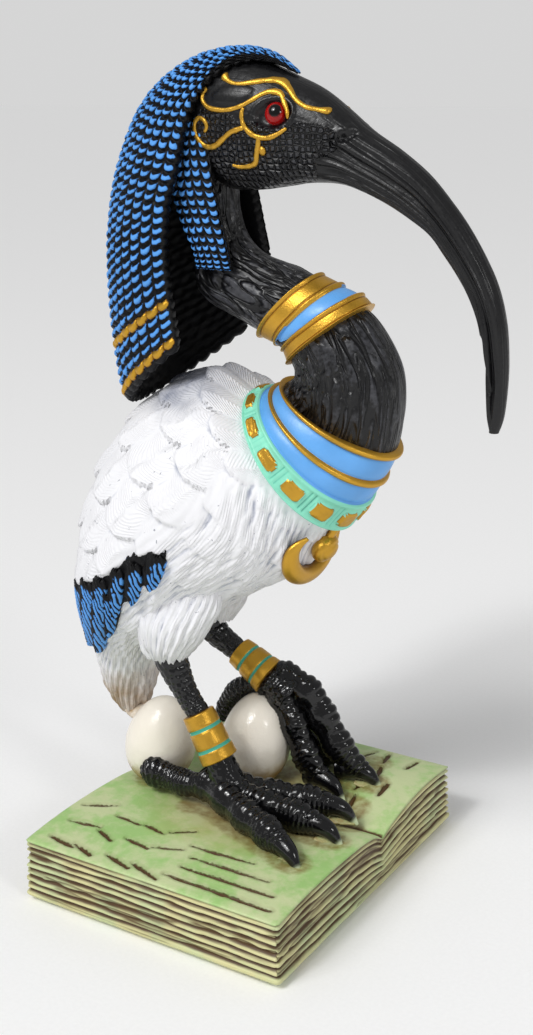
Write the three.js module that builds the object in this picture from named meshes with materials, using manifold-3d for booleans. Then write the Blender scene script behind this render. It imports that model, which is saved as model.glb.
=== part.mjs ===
// An ibis with a striped-wig headdress, standing with its two eggs on an open book.
// One resin casting on four small rubber pads. Millimetres, +Z up, +X the way the bird faces.
import * as THREE from "three";
import { mergeVertices } from "three/addons/utils/BufferGeometryUtils.js";
import Module from "manifold-3d";

// Book, at its foot
const BOOK_LENGTH = 80;
const BOOK_WIDTH = 96.6;
const BOOK_HEIGHT = 16.5;
const BOOK_DRAFT = 0.6;
const BOOK_CORNER_RADIUS = 1.2;
const SPINE_OFFSET = 6;
const LEAF_BULGE = 1.5;
const VALLEY_DEPTH = 2.8;
const PAGE_LAYERS = 8;
const PAGE_GROOVE_HEIGHT = 0.7;
const PAGE_GROOVE_DEPTH = 0.7;

// Rubber pads under the book
const PAD_DIAMETER = 12;
const PAD_HEIGHT = 1.2;
const PAD_GAP = 0.3;
const PAD_INSET = 8.5;

// Bird: its stations are drawn on a bird 200 high and scaled to this height above the page
const BIRD_HEIGHT = 200;
const BIRD_DRAWN = 200;
const BIRD_OFFSET = 4;
const HEAD_SIDES = 12;
const NECK_SIDES = 12;
const BAND_SIDES = 16;
const BODY_SIDES = 28;
const THIGH_SIDES = 10;
const LEG_SIDES = 8;
const ANKLET_SIDES = 10;
const TOE_SIDES = 6;

// Eggs
const EGG_LENGTH = 27;
const EGG_DIAMETER = 20;
const EGG_STEPS = 8;
const EGG_SIDES = 12;

const wasm = await Module();
wasm.setup();

const SCALE = BIRD_HEIGHT / BIRD_DRAWN;
const STAND_LEVEL = PAD_HEIGHT + PAD_GAP;
const PAGE_LEVEL = STAND_LEVEL + BOOK_HEIGHT;

// Leaves only positions in a geometry and merges the vertices that share one
function bare(geometry) {
  geometry.deleteAttribute("normal");
  geometry.deleteAttribute("uv");
  return mergeVertices(geometry, 1e-4);
}

// A closed solid from a geometry
function solid(geometry) {
  const merged = bare(geometry);
  const mesh = new wasm.Mesh({
    numProp: 3,
    vertProperties: new Float32Array(merged.attributes.position.array),
    triVerts: new Uint32Array(merged.index.array)
  });
  return new wasm.Manifold(mesh);
}

function joined(solids) {
  return solids.reduce((whole, next) => whole.add(next));
}

// Moves each vertex of a geometry by a rule
function shaped(geometry, rule) {
  const position = geometry.attributes.position;
  const point = new THREE.Vector3();
  for (let i = 0; i < position.count; i += 1) {
    point.fromBufferAttribute(position, i);
    const placed = rule(point);
    position.setXYZ(i, placed.x, placed.y, placed.z);
  }
  return geometry;
}

// Which point of its ring a cylinder's vertex is, counted one way or the other
function ringIndex(p, sides, way = 1) {
  const turn = Math.atan2(way * p.x, p.z) + 2 * Math.PI;
  return Math.round((turn / (2 * Math.PI)) * sides) % sides;
}

// A smooth curve through values given at even steps
function smooth(values) {
  const last = values.length - 1;
  return (t) => {
    const place = THREE.MathUtils.clamp(t, 0, 1) * last;
    const i = Math.min(Math.floor(place), last - 1);
    const f = place - i;
    const a = values[Math.max(i - 1, 0)];
    const b = values[i];
    const c = values[i + 1];
    const d = values[Math.min(i + 2, last)];
    return b + 0.5 * f * (c - a + f * (2 * a - 5 * b + 4 * c - d + f * (3 * (b - c) + d - a)));
  };
}

// A form between two outlines in the XZ plane. Each station is
// [front x, front z, back x, back z, half width]; walking along, the front outline lies on the left
// hand of +Y, so that front cross along is +Y.
function formOf(stations) {
  const columns = [0, 1, 2, 3, 4].map((k) => smooth(stations.map((s) => s[k] * SCALE)));
  return (t) => {
    const [fx, fz, bx, bz, half] = columns.map((column) => column(t));
    return {
      centre: new THREE.Vector3((fx + bx) / 2, 0, (fz + bz) / 2),
      reach: new THREE.Vector3((fx - bx) / 2, 0, (fz - bz) / 2),
      half
    };
  };
}

// The point of a form's skin at t along it and angle round it, lifted outwards
function onForm(form, t, angle, lift = 0) {
  const { centre, reach, half } = form(t);
  const long = 1 + lift / Math.max(reach.length(), 0.01);
  const wide = 1 + lift / Math.max(half, 0.01);
  const point = centre.clone().addScaledVector(reach, Math.cos(angle) * long);
  point.y += Math.sin(angle) * half * wide;
  return point;
}

// Even places along a form, each with the same lift
function evenly(steps, from = 0, to = 1, lift = 0) {
  return Array.from({ length: steps + 1 }, (_, i) => [from + ((to - from) * i) / steps, lift]);
}

// A closed solid along a form; its rings stand at the places [t, lift]
function formSolid(form, sides, places) {
  const steps = places.length - 1;
  const geometry = new THREE.CylinderGeometry(1, 1, 1, sides, steps);
  shaped(geometry, (p) => {
    const [t, lift] = places[Math.round((p.y + 0.5) * steps)];
    if (Math.hypot(p.x, p.z) < 0.5) {
      return form(t).centre;
    }
    return onForm(form, t, Math.atan2(p.z, p.x), lift);
  });
  return solid(geometry);
}

// A limb that follows [x, z, half thickness, half width] in the XZ plane, as a form
function limbForm(stations) {
  const centre = new THREE.CatmullRomCurve3(stations.map((s) => new THREE.Vector3(s[0], 0, s[1])));
  const last = stations.length - 1;
  return stations.map((s, i) => {
    const along = centre.getTangent(i / last);
    const front = new THREE.Vector3(-along.z, 0, along.x);
    return [
      s[0] + front.x * s[2], s[1] + front.z * s[2],
      s[0] - front.x * s[2], s[1] - front.z * s[2],
      s[3]
    ];
  });
}

function limb(stations, sides, steps) {
  return formSolid(formOf(limbForm(stations)), sides, evenly(steps));
}

// Height of the open book's leaves at y
function leafHeight(y) {
  const spine = SPINE_OFFSET;
  const edge = y < spine ? -BOOK_WIDTH / 2 : BOOK_WIDTH / 2;
  const s = THREE.MathUtils.clamp((y - edge) / (spine - edge), 0, 1);
  const bulge = LEAF_BULGE * Math.sin(Math.PI * Math.pow(s, 0.8));
  const sharp = y < spine ? 14 : 4;
  return BOOK_HEIGHT + bulge - VALLEY_DEPTH * Math.pow(s, sharp);
}

// Places across the book where its wavy outline has a corner
function leafPlaces() {
  const places = [];
  const near = [0, 0.35, 0.7, 0.92];
  const far = [0.9, 0.7, 0.35, 0];
  near.forEach((s) => places.push(-BOOK_WIDTH / 2 + s * (SPINE_OFFSET + BOOK_WIDTH / 2)));
  places.push(SPINE_OFFSET);
  far.forEach((s) => places.push(BOOK_WIDTH / 2 - s * (BOOK_WIDTH / 2 - SPINE_OFFSET)));
  return places;
}

// A slab right through the book along X, between two shares of the leaves' height
function leafSlab(low, high, thickness = 0) {
  const outside = 5;
  const places = leafPlaces();
  const outline = [-BOOK_WIDTH / 2 - outside, ...places, BOOK_WIDTH / 2 + outside];
  const lower = outline.map((y) => new THREE.Vector2(y, leafHeight(y) * low - thickness / 2));
  const upper = outline.map((y) => new THREE.Vector2(y, leafHeight(y) * high + thickness / 2));
  const shape = new THREE.Shape([...lower, ...upper.reverse()]);
  const length = BOOK_LENGTH + 2 * outside;
  const geometry = new THREE.ExtrudeGeometry(shape, { depth: length, bevelEnabled: false });
  return solid(shaped(geometry, (p) => new THREE.Vector3(p.z - length / 2, p.x, p.y)));
}

// An upright block with rounded corners and drafted sides, smaller by an inset all round
function bookBlock(inset, foot, top) {
  const perCorner = 2;
  const sides = 4 * perCorner;
  const geometry = new THREE.CylinderGeometry(1, 1, 1, sides, 1);
  shaped(geometry, (p) => {
    const z = p.y > 0 ? top : foot;
    if (Math.hypot(p.x, p.z) < 0.5) {
      return new THREE.Vector3(0, 0, z);
    }
    const index = ringIndex(p, sides);
    const corner = Math.floor(index / perCorner);
    const step = index % perCorner;
    const angle = (corner + step / (perCorner - 1)) * (Math.PI / 2);
    const draft = (BOOK_DRAFT * z) / BOOK_HEIGHT;
    const halfX = BOOK_LENGTH / 2 - inset - draft;
    const halfY = BOOK_WIDTH / 2 - inset - draft;
    const signX = corner === 0 || corner === 3 ? 1 : -1;
    const signY = corner < 2 ? 1 : -1;
    const x = signX * (halfX - BOOK_CORNER_RADIUS) + BOOK_CORNER_RADIUS * Math.cos(angle);
    const y = signY * (halfY - BOOK_CORNER_RADIUS) + BOOK_CORNER_RADIUS * Math.sin(angle);
    return new THREE.Vector3(x, y, z);
  });
  return solid(geometry);
}

function openBook() {
  const high = BOOK_HEIGHT + 2 * LEAF_BULGE;
  let book = bookBlock(0, 0, high).intersect(leafSlab(0, 1));
  const core = bookBlock(PAGE_GROOVE_DEPTH, -1, high + 1);
  for (let layer = 1; layer < PAGE_LAYERS; layer += 1) {
    const share = layer / PAGE_LAYERS;
    const groove = leafSlab(share, share, PAGE_GROOVE_HEIGHT).subtract(core);
    book = book.subtract(groove);
  }
  return book.translate([0, 0, STAND_LEVEL]);
}

// Places a solid drawn in the bird's own plane at a y, turned about Z at a place along X
function placed(part, y = 0, turn = 0, x = 0) {
  return part.rotate([0, 0, turn]).translate([x * SCALE, BIRD_OFFSET + y * SCALE, PAGE_LEVEL]);
}

// Both halves of something that stands on each side of the bird
function paired(make) {
  return joined([make(-1), make(1)]);
}

const BODY = [
  [32, 90.5, 8, 113, 11],
  [27, 85.3, 3, 116.5, 15.4],
  [22.3, 78, -8, 121.5, 21.5],
  [18, 70.5, -19.5, 118, 25],
  [10, 65, -30, 110.5, 27],
  [1, 60, -38, 101, 28],
  [-8, 54, -44, 90, 27.5],
  [-16, 48, -47.5, 78, 26],
  [-23, 43.5, -49.5, 65, 23],
  [-28, 39.5, -50.5, 52, 18.5],
  [-31, 34.5, -51, 40, 13.5],
  [-33, 28.5, -50.5, 30, 10],
  [-34.5, 22.5, -48, 22, 7.5],
  [-36, 18, -44.5, 16, 5]
];

const NECK = [
  [0, 182, -14, 180, 7],
  [-2.5, 168, -14, 165, 5.8],
  [-1.6, 158, -14.5, 150, 6.2],
  [2, 153, -13, 141, 7],
  [9, 149.8, -5, 136, 7.6],
  [16, 147.5, 3.5, 132, 8.2],
  [26, 144, 11, 128.6, 9],
  [36.5, 136.5, 15, 123.8, 10],
  [42.5, 127, 15.5, 121.5, 11],
  [44, 117, 14, 120.3, 11.3],
  [42.3, 106, 12.4, 119.8, 10.6],
  [38, 98, 10, 118.5, 10]
];

const HEAD = [
  [-16, 186, -15, 178, 3],
  [-13, 193, -11, 170, 8],
  [-5, 197, -3, 166.5, 10.3],
  [5, 196.8, 5, 166.3, 10.6],
  [15.5, 193, 14, 167.5, 9.6],
  [22.5, 190, 20, 168.4, 8.2],
  [28.5, 186, 28, 168.3, 7.2],
  [35.5, 180.8, 34.5, 166.5, 6.4],
  [43.0, 176.4, 40.8, 163.8, 5.8],
  [50.2, 171.2, 46.1, 160.9, 5.3],
  [56.0, 165.2, 51.2, 157.5, 5],
  [60.8, 159.3, 54.9, 153.1, 4.7],
  [65.1, 152.5, 58.5, 148.4, 4.4],
  [68.3, 145.8, 61.6, 143.5, 4.2],
  [70.3, 138.4, 63.9, 137.6, 3.9],
  [71.1, 131.1, 64.9, 131, 3.5],
  [71.2, 124.5, 65.5, 124.5, 3],
  [70.6, 117, 66.1, 117, 2.3],
  [69.6, 112.9, 66.9, 112.9, 1.2]
];

// Band round the neck: its outline, and where its rings stand proud
const BAND = [
  [20.4, 146.2, 5.2, 131.3, 8.6],
  [26.2, 144, 10.8, 129.5, 9.2],
  [31.7, 141.9, 13.1, 127.9, 9.8],
  [34.4, 139.5, 14.8, 124.3, 10.3]
];
const BAND_PLACES = [
  [0, -1.5], [0, 0.9], [0.31, 1], [0.33, 0.3], [0.66, 0.3], [0.69, 1], [0.98, 0.9], [1, -1.5]
];

// Collar: rolled ring, band, rolled ring, band and the broad tile band at its foot
const COLLAR = [
  [42.8, 105, 12.6, 119.6, 12],
  [38.8, 97.6, 10, 118, 14.2],
  [34.6, 91.5, 7.2, 116.8, 15.7],
  [28.3, 83.9, 3, 115.6, 17.2]
];
const COLLAR_PLACES = [
  [0, -2], [0, 1], [0.09, 1], [0.1, 0], [0.32, 0.1], [0.34, 0.9], [0.41, 0.9], [0.42, 0.1],
  [0.66, 0.2], [0.68, 1.1], [0.98, 1.2], [1, -2]
];

const WIG_MIDDLE = [
  [16.5, 193.8], [9, 198.4], [0, 200], [-10, 198.6], [-20, 194], [-28.5, 186.5], [-34.5, 176],
  [-38.5, 164], [-40.3, 151], [-40.5, 138], [-39.5, 124], [-37, 109]
];
const WIG_EDGE = [
  [16, 0.8, 193.2], [9, 3.5, 196.3], [2, 6.5, 195.5], [-3.5, 10, 191.5], [-7, 12.8, 185.5],
  [-8.8, 14.3, 179], [-10, 15.5, 172], [-11.8, 16.6, 165], [-12.6, 17.3, 157],
  [-12.4, 17.6, 149], [-11.3, 17.6, 141], [-9.3, 17.5, 131]
];
const WIG_THICKNESS = 4;
const WIG_LOCKS = 12;
const LOCK_RELIEF = 0.9;

// The outer skin of the wig at v from forehead to hem and a from edge to edge
function wigPoint(v, a) {
  const [mx, mz] = [0, 1].map((k) => smooth(WIG_MIDDLE.map((s) => s[k] * SCALE))(v));
  const [ex, ey, ez] = [0, 1, 2].map((k) => smooth(WIG_EDGE.map((s) => s[k] * SCALE))(v));
  const turn = (a * Math.PI) / 2;
  return new THREE.Vector3(
    ex + (mx - ex) * Math.cos(turn),
    ey * Math.sin(turn),
    ez + (mz - ez) * Math.cos(turn)
  );
}

// The same point, sunk square to the skin by a depth
function sunkWigPoint(v, a, depth) {
  const small = 0.01;
  const here = wigPoint(v, a);
  const down = wigPoint(Math.min(v + small, 1), a).sub(wigPoint(Math.max(v - small, 0), a));
  const across = wigPoint(v, a + small).sub(wigPoint(v, a - small));
  const inward = down.cross(across).normalize();
  return here.addScaledVector(inward, depth);
}

// A shell of locks, thinner where it narrows to a point over the forehead
function wig() {
  const outer = WIG_LOCKS * 2;
  const inner = 6;
  const steps = 10;
  const sides = outer + inner;
  const geometry = new THREE.CylinderGeometry(1, 1, 1, sides, steps);
  shaped(geometry, (p) => {
    const v = p.y + 0.5;
    const fullness = Math.min(wigPoint(v, 1).y / (1.6 * WIG_THICKNESS * SCALE), 1) * SCALE;
    if (Math.hypot(p.x, p.z) < 0.5) {
      return sunkWigPoint(v, 0, (WIG_THICKNESS / 2) * fullness);
    }
    const i = ringIndex(p, sides);
    if (i <= outer) {
      const groove = i % 2 === 0 ? LOCK_RELIEF : 0;
      return sunkWigPoint(v, -1 + (2 * i) / outer, groove * fullness);
    }
    return sunkWigPoint(v, 1 - (2 * (i - outer)) / inner, WIG_THICKNESS * fullness);
  });
  return placed(solid(geometry));
}

// Flap of the wig that hangs in front of each shoulder: [x, z, half width, y]
const LAPPET = [
  [-9, 184, 3, 8], [-9, 177, 3.3, 9], [-7.2, 168, 4, 9.3], [-5.6, 160, 4.4, 9.3], [-4, 152, 4.8, 9.2],
  [-3.2, 147.5, 4.9, 9]
];
const LAPPET_THICKNESS = 3.6;

function lappet(side) {
  const columns = [0, 1, 2, 3].map((k) => smooth(LAPPET.map((s) => s[k] * SCALE)));
  const locks = 3;
  const outer = locks * 2;
  const inner = 2;
  const sides = outer + inner;
  const geometry = new THREE.CylinderGeometry(1, 1, 1, sides, 5);
  shaped(geometry, (p) => {
    const t = p.y + 0.5;
    const [x, z, half, y] = columns.map((column) => column(t));
    if (Math.hypot(p.x, p.z) < 0.5) {
      return new THREE.Vector3(x, side * y, z);
    }
    const i = ringIndex(p, sides, -side);
    if (i <= outer) {
      const across = 1 - (2 * i) / outer;
      const groove = i % 2 === 0 ? LOCK_RELIEF : 0;
      const bow = 1.2 * across * across;
      return new THREE.Vector3(x + half * across, side * (y + LAPPET_THICKNESS / 2 - groove - bow), z);
    }
    const across = -1 + (2 * (i - outer)) / inner;
    return new THREE.Vector3(x + half * across, side * (y - LAPPET_THICKNESS / 2), z);
  });
  return placed(solid(geometry));
}

// Legs: [x, z, half thickness, half width] down to the foot
const NEAR_SHANK = [
  [-17, 54, 7, 6.5], [-18, 46, 5, 5], [-15.5, 39, 3.9, 3.9], [-12, 33, 3.1, 3.1], [-8.5, 28, 3.1, 3.1],
  [-2.5, 17, 3.8, 3.8], [1, 8, 5.6, 5.6]
];
const FAR_SHANK = [
  [-24, 50, 6, 6], [-22.5, 41.5, 4.2, 4.2], [-15, 36.5, 3.2, 3.2], [-8, 33, 3.5, 3.5], [-1, 29, 4.6, 4.6],
  [4, 26, 5.4, 5.2]
];
const NEAR_THIGH = [
  [-12, 74, 9, 6], [-13.4, 64, 13, 8.6], [-16.4, 55, 10.8, 9.2], [-18, 49, 8.2, 8], [-18.4, 45, 6, 6], [-18.6, 42.5, 4, 4.2]
];
const FAR_THIGH = [[-20, 66, 12, 7], [-20, 57, 10, 8.5], [-21.5, 50, 7.5, 7.5], [-22, 45, 5, 5.5]];
const NEAR_ANKLET = [[-9, 29, 3.9, 3.9], [-2, 16.5, 4.6, 4.6]];
const FAR_ANKLET = [[-13.5, 36, 3.8, 3.8], [-3, 29.9, 5.1, 5.1]];

// Toes and claws in their own upright planes, from the middle of each foot
const NEAR_TOE = [
  [-1, 8, 5.5, 6], [8, 7.3, 5.6, 5.8], [17, 6, 5.3, 5.6], [25, 5.6, 5, 5.4], [30, 5.1, 4.8, 5.1],
  [33.5, 4.8, 4, 4.2], [35, 4.8, 2.8, 2.8]
];
const FAR_TOE_MIDDLE = [
  [-2, 29, 5, 5], [5, 30, 5.6, 5.6], [11.5, 26, 5.8, 5.6], [16.5, 18.5, 5.4, 5.4], [21, 11, 5, 5.2],
  [25, 6.5, 4.6, 4.8], [28, 4.5, 3, 3.2]
];
const FAR_TOE_SIDE = [
  [-2, 28, 4.8, 4.8], [3.5, 26, 5, 5.2], [8, 20.5, 5.1, 5.2], [12, 13.5, 4.9, 5], [15.5, 8, 4.8, 5],
  [19.5, 4.8, 4.3, 4.4], [22, 4, 2.8, 3]
];
const HALLUX = [[0, 7.5, 4.8, 5], [-8, 6.5, 4.2, 4.6], [-14, 7, 4.7, 4.8], [-18.5, 7.2, 5, 4.9], [-21.5, 6, 3.2, 3.2]];
const FAR_HALLUX = [[0, 28, 4.5, 4.6], [-6, 26, 4, 4.2], [-11, 22, 4, 4.2], [-14.5, 17, 3.7, 3.8], [-15, 13, 2, 2.2]];
const CLAW = [[-3, 1.4, 3.8, 3.5], [2, 1.4, 3.4, 3.1], [5.6, -0.4, 2.4, 2.1], [7.8, -3.7, 0.7, 0.6]];
const CLAW_SIDES = 5;
const NEAR_CLAW_AT = { x: 32, z: 4 };
const FAR_CLAW_MIDDLE_AT = { x: 24.5, z: 4 };
const FAR_CLAW_SIDE_AT = { x: 19, z: 3.8 };
const NEAR_FOOT_Y = -13.5;
const FAR_FOOT_Y = 14;
const NEAR_FOOT = { y: NEAR_FOOT_Y, x: -6, turn: 2, spread: 18.5 };
const FAR_FOOT = { y: FAR_FOOT_Y, x: -4, turn: 13.5, spread: 22.7 };

// A toe with its claw, which starts at a place along and above it
function toe(stations, at) {
  const claw = CLAW.map(([x, z, ...rest]) => [x + at.x, z + at.z, ...rest]);
  return joined([limb(stations, TOE_SIDES, 5), limb(claw, CLAW_SIDES, 3)]);
}

function foot(place, middle, side, hallux) {
  const toes = [-1, 0, 1].map((way) => {
    const part = way === 0 ? middle : side;
    return placed(part, place.y, place.turn + way * place.spread, place.x);
  });
  return joined([...toes, placed(limb(hallux, TOE_SIDES, 3), place.y, 0, place.x)]);
}

function legs() {
  const nearToe = toe(NEAR_TOE, NEAR_CLAW_AT);
  const farMiddle = toe(FAR_TOE_MIDDLE, FAR_CLAW_MIDDLE_AT);
  const farSide = toe(FAR_TOE_SIDE, FAR_CLAW_SIDE_AT);
  return joined([
    placed(limb(NEAR_THIGH, THIGH_SIDES, 5), NEAR_FOOT_Y),
    placed(limb(FAR_THIGH, THIGH_SIDES, 3), FAR_FOOT_Y - 1),
    placed(limb(NEAR_SHANK, LEG_SIDES, 5), NEAR_FOOT_Y),
    placed(limb(FAR_SHANK, LEG_SIDES, 5), FAR_FOOT_Y),
    placed(limb(NEAR_ANKLET, ANKLET_SIDES, 1), NEAR_FOOT_Y),
    placed(limb(FAR_ANKLET, ANKLET_SIDES, 1), FAR_FOOT_Y),
    foot(NEAR_FOOT, nearToe, nearToe, HALLUX),
    foot(FAR_FOOT, farMiddle, farSide, FAR_HALLUX)
  ]);
}

// Tiers of feathers on the body. Each ends at t on the back's ridge and runs up the flank by a
// skew; its tips reach further by a zigzag and stand proud by a lift
const FEATHER_TIERS = [
  { t: 0.15, skew: 0.02, zigzag: 0.012, lift: 0.9 },
  { t: 0.24, skew: 0.03, zigzag: 0.014, lift: 1.1 },
  { t: 0.33, skew: 0.04, zigzag: 0.015, lift: 1.3 },
  { t: 0.425, skew: 0.05, zigzag: 0.016, lift: 1.5 },
  { t: 0.53, skew: 0.07, zigzag: 0.018, lift: 1.6 },
  { t: 0.7, skew: 0.13, zigzag: 0.022, lift: 2.2 }
];
const FEATHER_ROOT = 0.004;
const TAIL_PLACES = [0.79, 0.86, 0.92, 0.97, 1];
const WING_EDGE = 105;
const BREAST_LIFT = 0.35;

// The body, ring by ring: root and tip of each tier of feathers
function featheredBody(form) {
  const rings = [{ t: 0, skew: 0, zigzag: 0, lift: 0, stagger: 0 }, { t: 0.07, skew: 0, zigzag: 0, lift: 0.4, stagger: 0 }];
  FEATHER_TIERS.forEach((tier, i) => {
    rings.push({ ...tier, stagger: i });
    rings.push({ ...tier, t: tier.t + FEATHER_ROOT, lift: 0, stagger: i });
  });
  TAIL_PLACES.forEach((t) => rings.push({ t, skew: 0, zigzag: 0, lift: 0, stagger: 0 }));
  const steps = rings.length - 1;
  const geometry = new THREE.CylinderGeometry(1, 1, 1, BODY_SIDES, steps);
  shaped(geometry, (p) => {
    const ring = rings[Math.round((p.y + 0.5) * steps)];
    if (Math.hypot(p.x, p.z) < 0.5) {
      return form(ring.t).centre;
    }
    const angle = Math.atan2(p.z, p.x);
    const fromRidge = 180 - Math.abs(THREE.MathUtils.radToDeg(angle));
    const wing = 1 - THREE.MathUtils.smoothstep(fromRidge, WING_EDGE - 12, WING_EDGE + 12);
    const index = Math.round(((angle + Math.PI) / (2 * Math.PI)) * BODY_SIDES);
    const tip = (index + ring.stagger) % 2 === 0 ? 1 : -1;
    const run = (ring.skew * Math.min(fromRidge, WING_EDGE)) / WING_EDGE;
    const lift = ring.lift * (BREAST_LIFT + (1 - BREAST_LIFT) * wing) * (tip > 0 ? 1 : 0.75);
    return onForm(form, ring.t - run + tip * ring.zigzag, angle, lift * SCALE);
  });
  return placed(solid(geometry));
}

// Crescent and disc on the chest, round this place along the body's front
const PENDANT_T = 0.165;
const CRESCENT_RADIUS = 9.2;
const CRESCENT_REACH = 118;
const DISC_RADIUS = 3.6;

function pendant(form) {
  const perT = onForm(form, PENDANT_T + 0.01, 0).distanceTo(onForm(form, PENDANT_T - 0.01, 0)) / 0.02;
  const perAngle = form(PENDANT_T).half;
  const onChest = (down, across, lift) => onForm(form, PENDANT_T + down / perT, across / perAngle, lift);
  const crescent = new THREE.CylinderGeometry(1, 1, 1, 5, 8);
  shaped(crescent, (p) => {
    const turn = THREE.MathUtils.degToRad(2 * CRESCENT_REACH * p.y);
    const thick = (0.5 + 2 * Math.cos(Math.PI * p.y)) * SCALE;
    const radius = CRESCENT_RADIUS * SCALE + p.x * thick;
    return onChest(radius * Math.cos(turn), radius * Math.sin(turn), 0.4 * SCALE + p.z * thick);
  });
  const disc = new THREE.SphereGeometry(DISC_RADIUS * SCALE, 8, 5);
  const centre = onChest(0, 0, 0.8 * SCALE);
  disc.translate(centre.x, centre.y, centre.z);
  return placed(joined([solid(crescent), solid(disc)]));
}

// Eye, at a share of the head's length and some degrees round from its top, and the painted ridges
// round it, as [x, z] on the side of the head
const EYE = { along: 0.217, round: 72.3, radius: 3, sunk: 2 };
const BROW = [[-0.2, 193.2], [3.3, 191.6], [11.6, 191.8], [16.2, 190.7], [20, 186.8], [26.2, 184.7]];
const EYELINE = [
  [-4.3, 190.1], [-5, 188], [0, 185.5], [6, 186.4], [10.7, 188.9], [15, 188.8], [18, 183.8]
];
const CHEEK = [
  [6.5, 186], [6.4, 183], [10.8, 179.3], [17.9, 181.2]
];
const SPIRAL = [[8, 181], [3.6, 180.1], [-2.5, 176.7], [-7, 179], [-6.5, 183], [-3.8, 182], [-4.5, 180]];
const DROP = [[10.8, 179.3], [8.8, 173.2], [2.5, 172.5]];
const RIDGE_RADIUS = 0.75;

// The y of the form's skin at x, z
function skinY(form, x, z) {
  let low = 0;
  let high = 1;
  const point = new THREE.Vector3(x, 0, z);
  const ahead = (t) => {
    const { centre, reach } = form(t);
    const along = new THREE.Vector3(reach.z, 0, -reach.x);
    return point.clone().sub(centre).dot(along) > 0;
  };
  for (let i = 0; i < 24; i += 1) {
    const middle = (low + high) / 2;
    if (ahead(middle)) {
      low = middle;
    } else {
      high = middle;
    }
  }
  const { centre, reach, half } = form(low);
  const share = point.sub(centre).dot(reach) / reach.lengthSq();
  return half * Math.sqrt(Math.max(1 - share * share, 0));
}

function ridge(form, side, line, steps) {
  const points = line.map(([x, z]) => {
    return new THREE.Vector3(x * SCALE, side * skinY(form, x * SCALE, z * SCALE), z * SCALE);
  });
  const path = new THREE.CatmullRomCurve3(points);
  const section = new THREE.Shape();
  const corners = 3;
  for (let i = 0; i < corners; i += 1) {
    const angle = (2 * Math.PI * i) / corners;
    const x = RIDGE_RADIUS * SCALE * Math.cos(angle);
    const y = RIDGE_RADIUS * SCALE * Math.sin(angle);
    if (i === 0) {
      section.moveTo(x, y);
    } else {
      section.lineTo(x, y);
    }
  }
  return solid(new THREE.ExtrudeGeometry(section, { steps, extrudePath: path, bevelEnabled: false }));
}

function eyes(form) {
  return placed(paired((side) => {
    const eye = new THREE.SphereGeometry(EYE.radius * SCALE, 8, 6);
    const place = onForm(form, EYE.along, THREE.MathUtils.degToRad(EYE.round));
    eye.translate(place.x, side * (place.y - EYE.sunk * SCALE), place.z);
    return joined([
      solid(eye),
      ridge(form, side, BROW, 6),
      ridge(form, side, EYELINE, 7),
      ridge(form, side, CHEEK, 4),
      ridge(form, side, SPIRAL, 7),
      ridge(form, side, DROP, 3)
    ]);
  }));
}

// Where each egg leans, and the height of their middles above the page
const BACK_EGG = { x: -28.3, y: -0.4, tilt: 12, turn: 0 };
const FAR_EGG = { x: -5.5, y: 14, tilt: 8, turn: 60 };
const EGG_RISE = 12.3;

function egg({ x, y, tilt, turn }) {
  const profile = [];
  for (let i = 0; i <= EGG_STEPS; i += 1) {
    const angle = (Math.PI * i) / EGG_STEPS;
    const blunt = 1 + 0.12 * Math.cos(angle);
    profile.push(new THREE.Vector2((EGG_DIAMETER / 2) * Math.sin(angle) * blunt, (-EGG_LENGTH / 2) * Math.cos(angle)));
  }
  profile[0].x = 0;
  profile[EGG_STEPS].x = 0;
  const geometry = new THREE.LatheGeometry(profile, EGG_SIDES);
  const laid = solid(geometry).rotate([90, 0, 0]).rotate([0, tilt, turn]);
  return laid.translate([x, y, PAGE_LEVEL + EGG_RISE]);
}

const bodyForm = formOf(BODY);
const headForm = formOf(HEAD);
const bird = joined([
  featheredBody(bodyForm),
  placed(formSolid(formOf(NECK), NECK_SIDES, evenly(14))),
  placed(formSolid(headForm, HEAD_SIDES, evenly(21))),
  eyes(headForm),
  placed(formSolid(formOf(BAND), BAND_SIDES, BAND_PLACES)),
  placed(formSolid(formOf(COLLAR), BAND_SIDES, COLLAR_PLACES)),
  pendant(bodyForm),
  wig(),
  paired(lappet),
  legs()
]);
const eggs = joined([egg(BACK_EGG), egg(FAR_EGG)]);
const figureSolid = joined([openBook(), bird, eggs]);

// A mesh from a solid
function meshOf(name, part, look) {
  const { vertProperties, triVerts } = part.getMesh();
  const geometry = new THREE.BufferGeometry();
  geometry.setAttribute("position", new THREE.BufferAttribute(new Float32Array(vertProperties), 3));
  geometry.setIndex(new THREE.BufferAttribute(new Uint32Array(triVerts), 1));
  geometry.computeVertexNormals();
  const mesh = new THREE.Mesh(geometry, new THREE.MeshStandardMaterial(look));
  mesh.name = name;
  return mesh;
}

// Four rubber pads under the book's corners
function pads() {
  const reachX = BOOK_LENGTH / 2 - PAD_INSET;
  const reachY = BOOK_WIDTH / 2 - PAD_INSET;
  const corners = [["front_near", 1, -1], ["front_far", 1, 1], ["back_near", -1, -1], ["back_far", -1, 1]];
  return corners.map(([place, signX, signY]) => {
    const disc = new THREE.CylinderGeometry(PAD_DIAMETER / 2, PAD_DIAMETER / 2, PAD_HEIGHT, 16);
    disc.rotateX(Math.PI / 2);
    const rubber = new THREE.MeshStandardMaterial({ color: "#141414", roughness: 0.9, metalness: 0 });
    const pad = new THREE.Mesh(bare(disc), rubber);
    pad.name = `pad_${place}`;
    pad.position.set(signX * reachX, signY * reachY, PAD_HEIGHT / 2);
    return pad;
  });
}

const figure = new THREE.Group();
figure.add(meshOf("ibis_figure", figureSolid, { color: "#e8e6e0", roughness: 0.6, metalness: 0 }));
pads().forEach((pad) => figure.add(pad));

// The origin stands under the middle of the whole object
const bounds = new THREE.Box3().setFromObject(figure);
const middle = bounds.getCenter(new THREE.Vector3());
figure.position.set(-middle.x, -middle.y, 0);

export default figure;
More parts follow.
